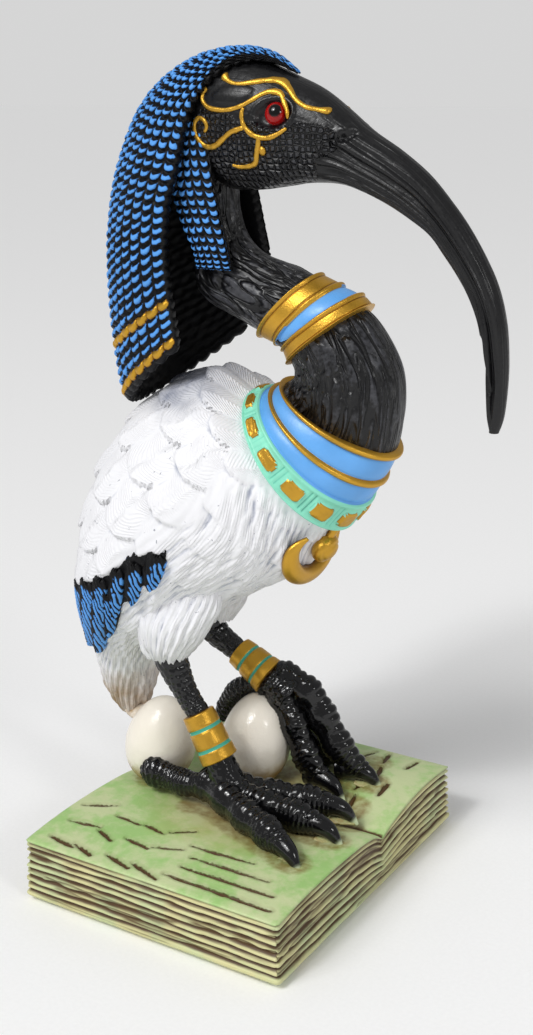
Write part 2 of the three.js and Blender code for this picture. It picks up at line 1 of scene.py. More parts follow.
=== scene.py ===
"""An ibis in a beaded headdress, cast in resin and painted by hand, standing on an open book."""
import math

import bmesh
import bpy
import numpy as np
from mathutils import Matrix, Vector


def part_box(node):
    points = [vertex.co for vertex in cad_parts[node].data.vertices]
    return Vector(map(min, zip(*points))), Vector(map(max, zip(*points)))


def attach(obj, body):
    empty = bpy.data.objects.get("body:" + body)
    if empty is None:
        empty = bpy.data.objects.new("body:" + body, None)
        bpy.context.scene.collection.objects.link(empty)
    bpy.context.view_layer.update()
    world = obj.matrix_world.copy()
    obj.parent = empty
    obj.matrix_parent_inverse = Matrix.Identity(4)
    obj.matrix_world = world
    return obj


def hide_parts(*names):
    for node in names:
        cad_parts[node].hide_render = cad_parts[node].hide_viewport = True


bl_info = {
    "name": "Painted ibis on an open book",
    "version": (1, 0, 0),
    "blender": (4, 5, 0),
    "location": "3D View > Sidebar > Ibis",
    "description": "Builds the painted resin casting piece by piece",
    "category": "Object",
}

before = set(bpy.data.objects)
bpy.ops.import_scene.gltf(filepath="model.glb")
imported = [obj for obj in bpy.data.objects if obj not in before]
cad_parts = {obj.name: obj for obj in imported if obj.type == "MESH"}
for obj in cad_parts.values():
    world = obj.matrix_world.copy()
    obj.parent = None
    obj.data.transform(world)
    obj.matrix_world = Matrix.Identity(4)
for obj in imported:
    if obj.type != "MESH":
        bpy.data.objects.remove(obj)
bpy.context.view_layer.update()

MM = 0.001
PADS = ("pad_front_near", "pad_front_far", "pad_back_near", "pad_back_far")
PAD_CORNERS = [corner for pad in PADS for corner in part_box(pad)]
BOOK_MIDDLE = sum(PAD_CORNERS, Vector()) / len(PAD_CORNERS)
SIDES = (("near", -1), ("far", 1))
STAND_LEVEL = 1.5
BOOK_TOP = 16.5
BIRD_OFFSET = 4.0


# Colour

def linear(hex_colour):
    """Turns an sRGB hex colour into the linear one that shaders take."""
    values = [int(hex_colour[i:i + 2], 16) / 255 for i in (1, 3, 5)]
    lit = [c / 12.92 if c <= 0.04045 else ((c + 0.055) / 1.055) ** 2.4 for c in values]
    return (*lit, 1.0)


def colour_setting(name, description, default):
    """A colour in the panel, given as sRGB hex."""
    return bpy.props.FloatVectorProperty(
        name=name, description=description, default=linear(default), subtype="COLOR", size=4,
        min=0.0, max=1.0)


def length_setting(name, description, default):
    """A length in the panel, in millimetres here and in metres for the user."""
    return bpy.props.FloatProperty(
        name=name, description=description, default=default * MM, min=0.0, unit="LENGTH",
        subtype="DISTANCE", precision=4)


class IbisSizes(bpy.types.PropertyGroup):
    """Sizes of the casting's own relief."""

    book_length: length_setting("Book length", "Along the spine", 80.0)
    book_width: length_setting("Book width", "Across both leaves", 96.6)
    book_height: length_setting("Book height", "At the leaves' outer edges", 16.5)
    groove_depth: length_setting("Leaf groove depth", "Grooves between the leaves", 1.1)
    stroke_depth: length_setting("Stroke depth", "Strokes cut in the pages", 0.7)
    feather_relief: length_setting("Feather relief", "Step at a feather's tip", 0.75)
    bead_relief: length_setting("Bead relief", "Depth between the wig's beads", 1.3)
    scute_relief: length_setting("Scute relief", "Depth between the toes' scales", 0.9)


class IbisColours(bpy.types.PropertyGroup):
    """Colours of the paints and the bare resin."""

    resin: colour_setting("Black resin", "Matte black of the neck, head and bill", "#0D0D0F")
    # Grey on the ridges: a dry brush, laid on heavier so that it is also their painted highlight.
    dry_brush_and_sheen: colour_setting("Dry brush", "Grey on the black resin's ridges", "#55565C")
    feet: colour_setting("Feet", "Gloss black of the legs and feet", "#08080A")
    plumage: colour_setting("Plumage", "White of the feathers", "#EAEAED")
    # The grey also paints the shadow below each feather's tip and darkens the shaggy belly and tail.
    wash: colour_setting("Grey wash", "Grey in the feathers' recesses", "#9EA4B4")
    blue: colour_setting("Blue", "Wig, wing tips and bands", "#5CA0E8")
    gold: colour_setting("Gold", "Rings, bands, pendant and eye lines", "#CC9C34")
    gold_wash: colour_setting("Gold wash", "Brown in the gold's recesses", "#6E430C")
    turquoise: colour_setting("Turquoise", "Collar's tile band", "#8AE0C4")
    anklet_line: colour_setting("Anklet line", "Lines round the anklets", "#3FA58C")
    ivory: colour_setting("Ivory", "Eggs", "#ECE5D8")
    page: colour_setting("Page", "Pale green of the pages", "#C3CE9B")
    page_patch: colour_setting("Page patch", "Stronger green patches", "#9DC476")
    page_edge: colour_setting("Page edge", "Cream of the leaves' edges", "#D2CD97")
    brown: colour_setting("Brown wash", "Wash in grooves and strokes", "#4E3413")
    stain: colour_setting("Brown stain", "Stain on tail, eggs and page", "#9A7A4C")
    eye: colour_setting("Eye", "Red of the eyes", "#B40A0A")


# Numbers and forms

def smooth(values, t):
    """A smooth curve through values given at even steps, at every t."""
    values = np.asarray(values, dtype=float)
    last = len(values) - 1
    place = np.clip(t, 0.0, 1.0) * last
    i = np.minimum(place.astype(int), last - 1)
    f = place - i
    a = values[np.maximum(i - 1, 0)]
    b = values[i]
    c = values[i + 1]
    d = values[np.minimum(i + 2, last)]
    return b + 0.5 * f * (c - a + f * (2 * a - 5 * b + 4 * c - d + f * (3 * (b - c) + d - a)))


def step(low, high, value):
    """Smooth step from 0 at low to 1 at high."""
    t = np.clip((value - low) / (high - low), 0.0, 1.0)
    return t * t * (3 - 2 * t)


def mix(a, b, share):
    """From a to b as the share goes from 0 to 1."""
    return a + (b - a) * share


def bell(gap, width):
    """1 where there is no gap, falling away to 0 in about twice the width."""
    return np.exp(-(gap / width) ** 2)


def scatter(i, j, seed):
    """A steady pseudo-random number in 0 to 1 for each pair of whole numbers."""
    n = np.sin(i * 127.1 + j * 311.7 + seed * 74.7) * 43758.5453
    return n - np.floor(n)


def grain(x, y, seed, around=0):
    """Smooth noise in 0 to 1 with features one unit wide, and alike again after so many units of x."""
    x, y = np.broadcast_arrays(np.asarray(x, float), np.asarray(y, float))
    i, j = np.floor(x), np.floor(y)
    fx, fy = x - i, y - j
    fx, fy = fx * fx * (3 - 2 * fx), fy * fy * (3 - 2 * fy)
    here, after = (np.mod(i, around), np.mod(i + 1, around)) if around else (i, i + 1)
    low = mix(scatter(here, j, seed), scatter(after, j, seed), fx)
    high = mix(scatter(here, j + 1, seed), scatter(after, j + 1, seed), fx)
    return mix(low, high, fy)


def rough(x, y, seed, octaves=3, around=0):
    """Grain over grain, each half the size of the last, in 0 to 1."""
    total, weight = 0.0, 0.0
    for octave in range(octaves):
        share = 0.5 ** octave
        finer = 2 ** octave
        total = total + share * grain(x * finer, y * finer, seed + octave, around * finer)
        weight += share
    return total / weight


def form_of(stations):
    """A skin between two outlines: [front x, front z, back x, back z, half width] per station."""
    table = np.asarray(stations, dtype=float)

    def surface(u, v):
        fx, fz, bx, bz, half = (smooth(table[:, k], v) for k in range(5))
        turn = 2 * np.pi * u
        x = (fx + bx) / 2 + (fx - bx) / 2 * np.cos(turn)
        z = (fz + bz) / 2 + (fz - bz) / 2 * np.cos(turn)
        return np.stack([x, half * np.sin(turn), z], axis=-1)

    return surface


def limb_form(stations):
    """A skin round a bent limb: [x, z, half thickness, half width] per station."""
    table = np.asarray(stations, dtype=float)
    last = len(table) - 1
    rows = []
    for i, (x, z, thick, wide) in enumerate(table):
        ends = [smooth(table[:, k], np.array([i / last - 0.01, i / last + 0.01])) for k in (0, 1)]
        along = np.array([ends[0][1] - ends[0][0], ends[1][1] - ends[1][0]])
        along /= np.hypot(*along)
        rows.append([x - along[1] * thick, z + along[0] * thick,
                     x + along[1] * thick, z - along[0] * thick, wide])
    return form_of(rows)


def unit(vectors):
    """The same directions, each one long."""
    return vectors / np.maximum(np.linalg.norm(vectors, axis=-1, keepdims=True), 1e-9)


def raised(surface, u, v, height):
    """A skin that runs u round it and v along it, each point pushed straight out by a height."""
    small = 2e-3
    along = surface(u, np.clip(v + small, 0, 1)) - surface(u, np.clip(v - small, 0, 1))
    across = surface(u + small, v) - surface(u - small, v)
    return surface(u, v) + unit(np.cross(along, across)) * height[..., None]


def run_along(surface, u):
    """Distance along a skin at one place round it, as a function of v."""
    v = np.linspace(0, 1, 200)
    points = surface(np.full(v.size, u), v)
    steps = np.linalg.norm(np.diff(points, axis=0), axis=1)
    total = np.concatenate([[0.0], np.cumsum(steps)])
    return lambda value: np.interp(value, v, total)


def girth(surface, v):
    """Distance round a skin at each v."""
    places = np.linspace(0, 1, 60)
    u = np.linspace(0, 1, 48)
    lengths = []
    for place in places:
        points = surface(u, np.full(u.size, place))
        lengths.append(np.linalg.norm(np.diff(points, axis=0), axis=1).sum())
    return np.interp(v, places, lengths)


def on_page(points, y=BIRD_OFFSET, turn=0.0, x=0.0):
    """From millimetres over the page, turned and moved on it, to metres in the frame."""
    c, s = math.cos(math.radians(turn)), math.sin(math.radians(turn))
    px, py, pz = points[..., 0], points[..., 1], points[..., 2]
    return np.stack([
        c * px - s * py + x + BOOK_MIDDLE.x / MM,
        s * px + c * py + y + BOOK_MIDDLE.y / MM,
        pz + STAND_LEVEL + BOOK_TOP], axis=-1) * MM


def pebbles(x, y, seed, around=0):
    """Rounded grains one unit apart: height 1 in their middles, 0 in the joints between them."""
    jitter = 0.35
    x, y = np.broadcast_arrays(np.asarray(x, float), np.asarray(y, float))
    row = np.floor(y)
    near = np.full(x.shape, 9.0)
    next_near = np.full(x.shape, 9.0)
    for dj in (-1, 0, 1):
        j = row + dj
        shift = 0.5 * (j % 2)
        column = np.floor(x - shift)
        for di in (-1, 0, 1):
            i = column + di
            key = np.mod(i, around) if around else i
            cx = i + shift + 0.5 + jitter * (scatter(key, j, seed) - 0.5)
            cy = j + 0.5 + jitter * (scatter(key, j, seed + 5) - 0.5)
            gap = np.hypot(x - cx, y - cy)
            nearer = gap < near
            next_near = np.where(nearer, near, np.minimum(next_near, gap))
            near = np.where(nearer, gap, near)
    return step(0.0, 0.45, next_near - near) * (1 - 0.4 * np.clip(near, 0, 1) ** 2)


# Meshes

MERGE_WITHIN = 2e-6
SHORTEST_EDGE = 1e-7


def numbers_of(items, key):
    """Three numbers of every point or face, one row each."""
    values = np.empty(len(items) * 3)
    items.foreach_get(key, values)
    return values.reshape(-1, 3)


def lay_out(mesh, co, **values):
    """Moves a mesh's points to places in metres, and keeps the values that its paints read."""
    mesh.vertices.foreach_set("co", co.astype(np.float32).ravel())
    for key, value in values.items():
        kind, item = ("FLOAT_VECTOR", "vector") if np.ndim(value) == 2 else ("FLOAT", "value")
        attribute = mesh.attributes.new(key, kind, "POINT")
        attribute.data.foreach_set(item, np.asarray(value, dtype=np.float32).ravel())


def mesh_from(bm, name, paints=()):
    """A finished mesh with its paints."""
    mesh = bpy.data.meshes.new(name)
    bm.to_mesh(mesh)
    bm.free()
    for paint in paints:
        mesh.materials.append(paint)
    return mesh


def wrapped(name, across, along, rule, paints=(), zone=None):
    """A grid of across by along faces, its points moved by a rule, seams merged and ends closed.

    The rule takes u and v in 0 to 1 and gives points in metres and the values that the paints read.
    """
    bm = bmesh.new()
    bmesh.ops.create_grid(bm, x_segments=across, y_segments=along, size=0.5)
    mesh = mesh_from(bm, name)
    if zone is not None:
        u, v, _flat = numbers_of(mesh.polygons, "center").T + 0.5
        mesh.polygons.foreach_set("material_index", zone(u, v).astype(np.int32))
    u, v, _flat = numbers_of(mesh.vertices, "co").T + 0.5
    lay_out(mesh, **rule(u, v))
    bm = bmesh.new()
    bm.from_mesh(mesh)
    bpy.data.meshes.remove(mesh)
    bmesh.ops.remove_doubles(bm, verts=bm.verts, dist=MERGE_WITHIN)
    bmesh.ops.dissolve_degenerate(bm, edges=bm.edges, dist=SHORTEST_EDGE)
    bmesh.ops.holes_fill(bm, edges=[edge for edge in bm.edges if edge.is_boundary], sides=0)
    bmesh.ops.recalc_face_normals(bm, faces=bm.faces)
    for face in bm.faces:
        face.smooth = True
    return mesh_from(bm, name, paints)


def together(name, meshes, paints):
    """One mesh from several that share the same paints."""
    bm = bmesh.new()
    for mesh in meshes:
        bm.from_mesh(mesh)
        bpy.data.meshes.remove(mesh)
    return mesh_from(bm, name, paints)


def piece(name, mesh):
    """Puts a finished mesh in the scene as part of the casting."""
    made = bpy.data.objects.new(name, mesh)
    bpy.context.scene.collection.objects.link(made)
    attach(made, "root")
    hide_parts("ibis_figure")


# Paints and bare resin

COLOUR_MIX = {"out": 2, "data_type": "RGBA"}
SOFT_STEP = {"interpolation_type": "SMOOTHSTEP"}


def add(tree, kind, inputs=None, out=0, **settings):
    """Adds a node, makes its settings, sets or links its inputs, and gives one of its outputs."""
    made = tree.nodes.new("ShaderNode" + kind)
    for key, value in settings.items():
        setattr(made, key, value)
    for key, value in (inputs or {}).items():
        if isinstance(value, bpy.types.NodeSocket):
            tree.links.new(value, made.inputs[key])
        else:
            made.inputs[key].default_value = value
    return made.outputs[out] if made.outputs else None


def new_finish(name, *attributes):
    """A material without a shader yet, its tree, the place on the object, and the mesh's attributes."""
    material = bpy.data.materials.get(name) or bpy.data.materials.new(name)
    material.use_nodes = True
    tree = material.node_tree
    tree.nodes.clear()
    place = add(tree, "TexCoord", out="Object")
    values = [add(tree, "Attribute", out="Fac", attribute_name=key) for key in attributes]
    return material, tree, place, *values


def close_finish(tree, colour, roughness, height=None, depth=0.0, more=None):
    """The shader and its output, with dents as deep as given in metres where there is a height."""
    inputs = {"Base Color": colour, "Roughness": roughness, "IOR": 1.5}
    if height is not None:
        inputs["Normal"] = add(tree, "Bump", {"Strength": 1.0, "Distance": depth, "Height": height})
    inputs.update(more or {})
    add(tree, "OutputMaterial", {"Surface": add(tree, "BsdfPrincipled", inputs)})


def over_wash(tree, wash, paint, relief, pattern, share, low, high):
    """Paint on the high places and wash in the low ones, the edge between them broken by a pattern."""
    uneven = add(tree, "Math", {0: pattern, 1: share, 2: relief}, operation="MULTIPLY_ADD")
    clean = add(tree, "MapRange", {"Value": uneven, "From Min": low, "From Max": high}, **SOFT_STEP)
    return add(tree, "Mix", {0: clean, 6: wash, 7: paint}, **COLOUR_MIX)


def stained_and_shaded(tree, colour, stain, where, pattern, low, high, most=1.0):
    """A colour tinted where it is wanted and a pattern is strong: a stain, and under the wig a painted
    shade.
    """
    pooled = add(tree, "Math", {0: where, 1: pattern}, operation="MULTIPLY")
    share = add(tree, "MapRange", {"Value": pooled, "From Min": low, "From Max": high, "To Max": most})
    return add(tree, "Mix", {0: share, 6: colour, 7: stain}, **COLOUR_MIX)


def painted(name, paint, under, wash, cover, edge, ragged, gloss, under_gloss, bump, wash_reach=0.35,
            brush_mm=0.9, metal=0.0, shine=0.5):
    """Paint laid over another finish: it holds where the relief is high and wears off in recesses.

    A wash darkens the paint towards the recesses, and brush marks give both a faint grain.
    """
    material, tree, place, relief = new_finish(name, "relief")
    specks = add(tree, "TexNoise", {
        "Vector": place, "Scale": 1 / (brush_mm * MM), "Detail": 3.0, "Roughness": 0.55})
    patches = add(tree, "TexNoise", {
        "Vector": place, "Scale": 1 / (9.0 * MM), "Detail": 2.0, "Roughness": 0.55})
    fine = add(tree, "TexNoise", {
        "Vector": place, "Scale": 1 / (brush_mm * 0.5 * MM), "Detail": 4.0, "Roughness": 0.55})
    shifted = add(tree, "Math", {0: specks, 1: 0.5}, operation="SUBTRACT")
    worn = add(tree, "Math", {0: shifted, 1: ragged, 2: relief}, operation="MULTIPLY_ADD")
    mask = add(tree, "MapRange", {
        "Value": worn, "From Min": cover - edge, "From Max": cover + edge}, **SOFT_STEP)
    deep = add(tree, "MapRange", {
        "Value": worn, "From Min": cover, "From Max": cover + wash_reach}, **SOFT_STEP)
    tone = add(tree, "MapRange", {
        "Value": patches, "From Min": 0.3, "From Max": 0.7, "To Min": 0.9, "To Max": 1.06})
    top = add(tree, "Mix", {0: deep, 6: wash, 7: paint}, **COLOUR_MIX)
    lit = add(tree, "VectorMath", {0: top, "Scale": tone}, operation="SCALE")
    colour = add(tree, "Mix", {0: mask, 6: under, 7: lit}, **COLOUR_MIX)
    matte = add(tree, "MapRange", {"Value": mask, "To Min": under_gloss, "To Max": gloss})
    uneven = add(tree, "Math", {0: shifted, 1: 0.25, 2: matte}, operation="MULTIPLY_ADD", use_clamp=True)
    surface = add(tree, "Math", {0: mask, 1: 0.7, 2: fine}, operation="MULTIPLY_ADD")
    more = {"Specular IOR Level": shine}
    if metal:
        more["Metallic"] = add(tree, "Math", {0: mask, 1: metal}, operation="MULTIPLY")
    close_finish(tree, colour, uneven, surface, bump, more)
    return material


def matte_resin(colours):
    """Cast polyresin sprayed satin black: skin folds, cheek beads, grey on ridges as dry brush and painted
    highlight.
    """
    material, tree, place, relief, folded, beaded = new_finish(
        "black_resin_satin", "relief", "folds", "beaded")
    flow = add(tree, "Attribute", out="Vector", attribute_name="flow")
    waves = add(tree, "TexNoise", {
        "Vector": flow, "Scale": 1.0, "Detail": 1.5, "Roughness": 0.5, "Distortion": 0.5})
    centred = add(tree, "Math", {0: waves, 1: 0.5}, operation="SUBTRACT")
    apart = add(tree, "Math", {0: centred}, operation="ABSOLUTE")
    ridge = add(tree, "MapRange", {"Value": apart, "From Max": 0.15}, **SOFT_STEP)
    folds = add(tree, "Math", {0: ridge, 1: folded}, operation="MULTIPLY")
    xyz = add(tree, "SeparateXYZ", {0: place}).node.outputs
    flat = add(tree, "CombineXYZ", {0: xyz[0], 1: xyz[2]})
    cells = add(tree, "TexVoronoi", {
        "Vector": flat, "Scale": 1 / (1.45 * MM), "Randomness": 0.55}, voronoi_dimensions="2D",
        feature="DISTANCE_TO_EDGE")
    round_beads = add(tree, "MapRange", {"Value": cells, "From Max": 0.34}, **SOFT_STEP)
    both = add(tree, "Math", {0: round_beads, 1: beaded, 2: folds}, operation="MULTIPLY_ADD")
    brush = add(tree, "TexNoise", {
        "Vector": place, "Scale": 1 / (1.1 * MM), "Detail": 3.0, "Roughness": 0.55})
    caught = add(tree, "Math", {0: both, 1: 0.5, 2: brush}, operation="MULTIPLY_ADD")
    worn = add(tree, "Math", {0: relief, 1: 0.5, 2: caught}, operation="MULTIPLY_ADD")
    # The grey on fold ridges and bead tops is dry brush and also a painted highlight, standing in for their
    # sheen.
    grey = add(tree, "MapRange", {"Value": worn, "From Min": 1.04, "From Max": 1.5, "To Max": 0.58})
    colour = add(tree, "Mix", {0: grey, 6: colours.resin, 7: colours.dry_brush_and_sheen}, **COLOUR_MIX)
    uneven = add(tree, "MapRange", {
        "Value": brush, "From Min": 0.3, "From Max": 0.7, "To Min": 0.26, "To Max": 0.42})
    skin = add(tree, "Math", {0: brush, 1: 0.12, 2: both}, operation="MULTIPLY_ADD")
    close_finish(tree, colour, uneven, skin, 0.0007, {"Specular IOR Level": 0.4})
    return material


def gloss_resin(colours):
    """The same resin brushed with gloss varnish, wet looking on the scales; the claws' tips rubbed pale."""
    material, tree, place, relief, tip = new_finish("black_resin_varnished", "relief", "tip")
    pits = add(tree, "TexNoise", {
        "Vector": place, "Scale": 1 / (0.7 * MM), "Detail": 3.0, "Roughness": 0.55})
    black = add(tree, "Mix", {0: relief, 6: linear("#050506"), 7: colours.feet}, **COLOUR_MIX)
    colour = add(tree, "Mix", {0: tip, 6: black, 7: linear("#C8D4AE")}, **COLOUR_MIX)
    shine = add(tree, "MapRange", {
        "Value": pits, "From Min": 0.35, "From Max": 0.7, "To Min": 0.07, "To Max": 0.2})
    close_finish(tree, colour, shine, pits, 0.00005)
    return material


def blue_paint(colours):
    """Brushed acrylic: cornflower blue that covers the high parts and leaves black gaps."""
    return painted("blue_acrylic_over_black", colours.blue, colours.resin, linear("#3E7FCC"),
                   cover=0.42, edge=0.06, ragged=0.4, gloss=0.4, under_gloss=0.45, bump=0.0001,
                   wash_reach=0.3, brush_mm=0.55, shine=0.2)


def band_blue():
    """The same blue on the smooth bands, flooded into its edges."""
    return painted("blue_acrylic_band", linear("#62A6E8"), linear("#2D5CA8"), linear("#5BA0E0"),
                   cover=0.12, edge=0.1, ragged=0.15, gloss=0.36, under_gloss=0.4, bump=0.00004,
                   wash_reach=0.6, brush_mm=1.6)


def gold_paint(colours):
    """Metallic acrylic: old gold, brown where it pools, over black resin."""
    return painted("gold_acrylic", colours.gold, linear("#3A2408"), colours.gold_wash,
                   cover=0.14, edge=0.1, ragged=0.18, gloss=0.34, under_gloss=0.5, bump=0.00008,
                   wash_reach=0.55, brush_mm=0.8, metal=0.72)


def gold_over_black(colours):
    """The same gold dry-brushed over beads, black between them."""
    return painted("gold_acrylic_over_black", colours.gold, colours.resin, colours.gold_wash,
                   cover=0.4, edge=0.07, ragged=0.3, gloss=0.36, under_gloss=0.5, bump=0.0001,
                   brush_mm=0.55, metal=0.7, shine=0.2)


def turquoise_paint(colours):
    """Pale turquoise acrylic, darker in the grooves between the tiles."""
    return painted("turquoise_acrylic", colours.turquoise, linear("#3E8F7C"), linear("#6CCBB2"),
                   cover=0.2, edge=0.14, ragged=0.2, gloss=0.4, under_gloss=0.45, bump=0.00005,
                   wash_reach=0.4)


def anklet_green(colours):
    """Green lines brushed into the anklets' grooves."""
    return painted("green_acrylic_line", colours.anklet_line, linear("#1F4F42"), linear("#2F7F6C"),
                   cover=0.1, edge=0.1, ragged=0.2, gloss=0.4, under_gloss=0.45, bump=0.00004)


def plumage_paint(colours):
    """Matte white acrylic, thin grey wash in recesses and barbs, painted shade under feather tips and the
    wig.
    """
    material, tree, place, relief, barb, ribbed, shade, stain = new_finish(
        "white_acrylic_with_wash", "relief", "barb", "ribs", "shade", "stain")
    patches = add(tree, "TexNoise", {
        "Vector": place, "Scale": 1 / (7.0 * MM), "Detail": 4.0, "Roughness": 0.6})
    fine = add(tree, "TexNoise", {
        "Vector": place, "Scale": 1 / (0.8 * MM), "Detail": 3.0, "Roughness": 0.55})
    spots = add(tree, "TexNoise", {
        "Vector": place, "Scale": 1 / (1.3 * MM), "Detail": 2.0, "Roughness": 0.55})
    turn = add(tree, "Math", {0: barb, 1: 2 * math.pi}, operation="MULTIPLY")
    wave = add(tree, "Math", {0: turn}, operation="SINE")
    reach = add(tree, "Math", {0: ribbed, 1: 0.5}, operation="MULTIPLY")
    ribs = add(tree, "Math", {0: wave, 1: reach, 2: 0.5}, operation="MULTIPLY_ADD")
    lifted = add(tree, "Math", {0: ribs, 1: 0.1, 2: relief}, operation="MULTIPLY_ADD")
    white = over_wash(tree, colours.wash, colours.plumage, lifted, patches, 0.45, 0.42, 0.85)
    # Painted shade: blue-grey laid on the plumage where the wig's hem hangs over it.
    with_painted_shade = stained_and_shaded(tree, white, linear("#5E6780"), shade, patches, 0.1, 0.6, 0.85)
    browned = stained_and_shaded(tree, with_painted_shade, colours.stain, stain, patches, 0.16, 0.55, 0.9)
    dark = add(tree, "MapRange", {"Value": spots, "From Min": 0.70, "From Max": 0.76, "To Max": 0.7})
    colour = add(tree, "Mix", {0: dark, 6: browned, 7: linear("#5A6070")}, **COLOUR_MIX)
    height = add(tree, "Math", {0: fine, 1: 0.4, 2: ribs}, operation="MULTIPLY_ADD")
    close_finish(tree, colour, 0.55, height, 0.0001, {"IOR": 1.48})
    return material


def page_paint(colours):
    """Pale green wash over cream resin, stronger in patches, brown in the cut strokes; satin varnish."""
    material, tree, place, relief, stain, wash, gap = new_finish(
        "green_washed_resin_page", "relief", "stain", "wash", "gap")
    clouds = add(tree, "TexNoise", {
        "Vector": place, "Scale": 1 / (16.0 * MM), "Detail": 4.0, "Roughness": 0.55})
    mottle = add(tree, "TexNoise", {
        "Vector": place, "Scale": 1 / (2.6 * MM), "Detail": 4.0, "Roughness": 0.6})
    fine = add(tree, "TexNoise", {
        "Vector": place, "Scale": 1 / (0.9 * MM), "Detail": 3.0, "Roughness": 0.55})
    green = over_wash(tree, colours.page, colours.page_patch, clouds, mottle, 0.5, 0.62, 0.92)
    creamy = stained_and_shaded(tree, green, linear("#B5A76C"), stain, clouds, 0.12, 0.5)
    leaf = stained_and_shaded(tree, creamy, linear("#80602F"), wash, mottle, 0.2, 0.62, 0.75)
    uneven = add(tree, "Math", {0: fine, 1: 0.5, 2: gap}, operation="MULTIPLY_ADD")
    cut = add(tree, "MapRange", {"Value": uneven, "From Min": 0.22, "From Max": 0.52}, **SOFT_STEP)
    run = add(tree, "MapRange", {"Value": uneven, "From Min": 0.3, "From Max": 1.5, "To Min": 0.62})
    ragged = add(tree, "Math", {0: fine, 1: 0.4, 2: relief}, operation="MULTIPLY_ADD")
    clear = add(tree, "MapRange", {"Value": ragged, "From Min": 0.62, "From Max": 1.12}, **SOFT_STEP)
    kept = add(tree, "Math", {0: clear, 1: cut}, operation="MULTIPLY")
    clean = add(tree, "Math", {0: kept, 1: run}, operation="MULTIPLY")
    colour = add(tree, "Mix", {0: clean, 6: colours.brown, 7: leaf}, **COLOUR_MIX)
    height = add(tree, "Math", {0: mottle, 1: 0.3, 2: cut}, operation="MULTIPLY_ADD")
    close_finish(tree, colour, 0.42, height, 0.0004)
    return material


def leaf_edge_paint(colours):
    """Cream and green wash on the leaves' edges, brown wash run into every groove."""
    material, tree, place, relief = new_finish("washed_resin_leaf_edge", "relief")
    drawn = add(tree, "Mapping", {"Vector": place, "Scale": (1.0, 1.0, 14.0)})
    streaks = add(tree, "TexNoise", {
        "Vector": drawn, "Scale": 1 / (12.0 * MM), "Detail": 4.0, "Roughness": 0.6})
    clouds = add(tree, "TexNoise", {
        "Vector": place, "Scale": 1 / (11.0 * MM), "Detail": 3.0, "Roughness": 0.55})
    greener = add(tree, "MapRange", {"Value": clouds, "From Min": 0.4, "From Max": 0.65}, **SOFT_STEP)
    leaf = add(tree, "Mix", {0: greener, 6: colours.page_edge, 7: colours.page}, **COLOUR_MIX)
    colour = over_wash(tree, colours.brown, leaf, relief, streaks, 0.8, 0.58, 1.3)
    close_finish(tree, colour, 0.5, streaks, 0.0002)
    return material


def washed_resin(name, paint, stain, patch_mm, share, low, high, roughness):
    """Pale paint with a brown stain gathered in patches where the relief is low."""
    material, tree, place, relief = new_finish(name, "relief")
    patches = add(tree, "TexNoise", {
        "Vector": place, "Scale": 1 / (patch_mm * MM), "Detail": 4.0, "Roughness": 0.6})
    colour = over_wash(tree, stain, paint, relief, patches, share, low, high)
    close_finish(tree, colour, roughness, patches, 0.0003)
    return material


def egg_paint(colours):
    """Ivory acrylic under gloss varnish, brown wash gathered at the foot."""
    return washed_resin("ivory_acrylic_varnished", colours.ivory, colours.stain, 5.0, 0.7, 0.5, 1.05, 0.22)


def prop_paint(colours):
    """Pale green resin with brown wash, on the webs that hold the claws."""
    return washed_resin("washed_resin_prop", linear("#AFB880"), colours.stain, 2.2, 0.9, 0.45, 1.2, 0.5)


def eye_paint(colours):
    """Red enamel with a black pupil, both under gloss varnish."""
    material, tree, place, pupil = new_finish("red_enamel_eye", "pupil")
    cloudy = add(tree, "TexNoise", {
        "Vector": place, "Scale": 1 / (1.2 * MM), "Detail": 2.0, "Roughness": 0.55})
    red = add(tree, "Mix", {0: cloudy, 6: linear("#7A0505"), 7: colours.eye}, **COLOUR_MIX)
    colour = add(tree, "Mix", {0: pupil, 6: red, 7: linear("#050505")}, **COLOUR_MIX)
    close_finish(tree, colour, 0.1, more={
        "Specular IOR Level": 0.3, "Coat Weight": 0.15, "Coat Roughness": 0.03})
    return material


def pad_rubber():
    """Moulded black rubber: matte, with a fine grain about 0.4 mm across."""
    material, tree, place = new_finish("black_moulded_rubber")
    skin = add(tree, "TexNoise", {
        "Vector": place, "Scale": 1 / (0.4 * MM), "Detail": 3.0, "Roughness": 0.55})
    colour = add(tree, "Mix", {0: skin, 6: linear("#0B0B0B"), 7: linear("#232323")}, **COLOUR_MIX)
    close_finish(tree, colour, 0.82, skin, 0.00004, {"IOR": 1.52})
    return material


# Book

SPINE = 6.0
LEAF_BULGE = 1.5
VALLEY = 2.8
LAYERS = 8
WALL_ROWS = 36
DRAFT = 0.6
CORNER = 1.2


def leaf_height(y, width, height):
    """Height of the open book's leaves across it."""
    edge = np.where(y < SPINE, -width / 2, width / 2)
    s = np.clip((y - edge) / (SPINE - edge), 0.0, 1.0)
    sharp = np.where(y < SPINE, 14.0, 4.0)
    return height + LEAF_BULGE * np.sin(np.pi * s ** 0.8) - VALLEY * s ** sharp


def page_strokes():
    """Rows of plain strokes on both leaves: [x, y] of each end, in millimetres on the page."""
    lines = []
    for row in range(3):
        for k in range(4):
            lean = (scatter(k, row, 5) - 0.4) * 7.5
            long = 5.0 + 4.5 * scatter(k, row, 9)
            x, y = -36.0 + 9.6 * k + 2.5 * scatter(k, row, 2), -43.0 + 8.2 * row
            lines.append(((x, y), (x + long, y + lean)))
    for row in range(4):
        start = 2.0 + 4.0 * scatter(row, 1, 4)
        lines.append(((start, -43.0 + 4.6 * row), (start + 32 - 4.5 * row, -43.6 + 5.0 * row)))
    for row in range(4):
        for k in range(2 + row % 2):
            x = 18.0 + 7.4 * k - 2.5 * (row % 2)
            y = 12.0 + 8.6 * row
            long = 4.8 + 3.0 * scatter(k, row, 21)
            lines.append(((x, y), (x + 4.5 * (scatter(k, row, 8) - 0.5), y + long)))
    return lines


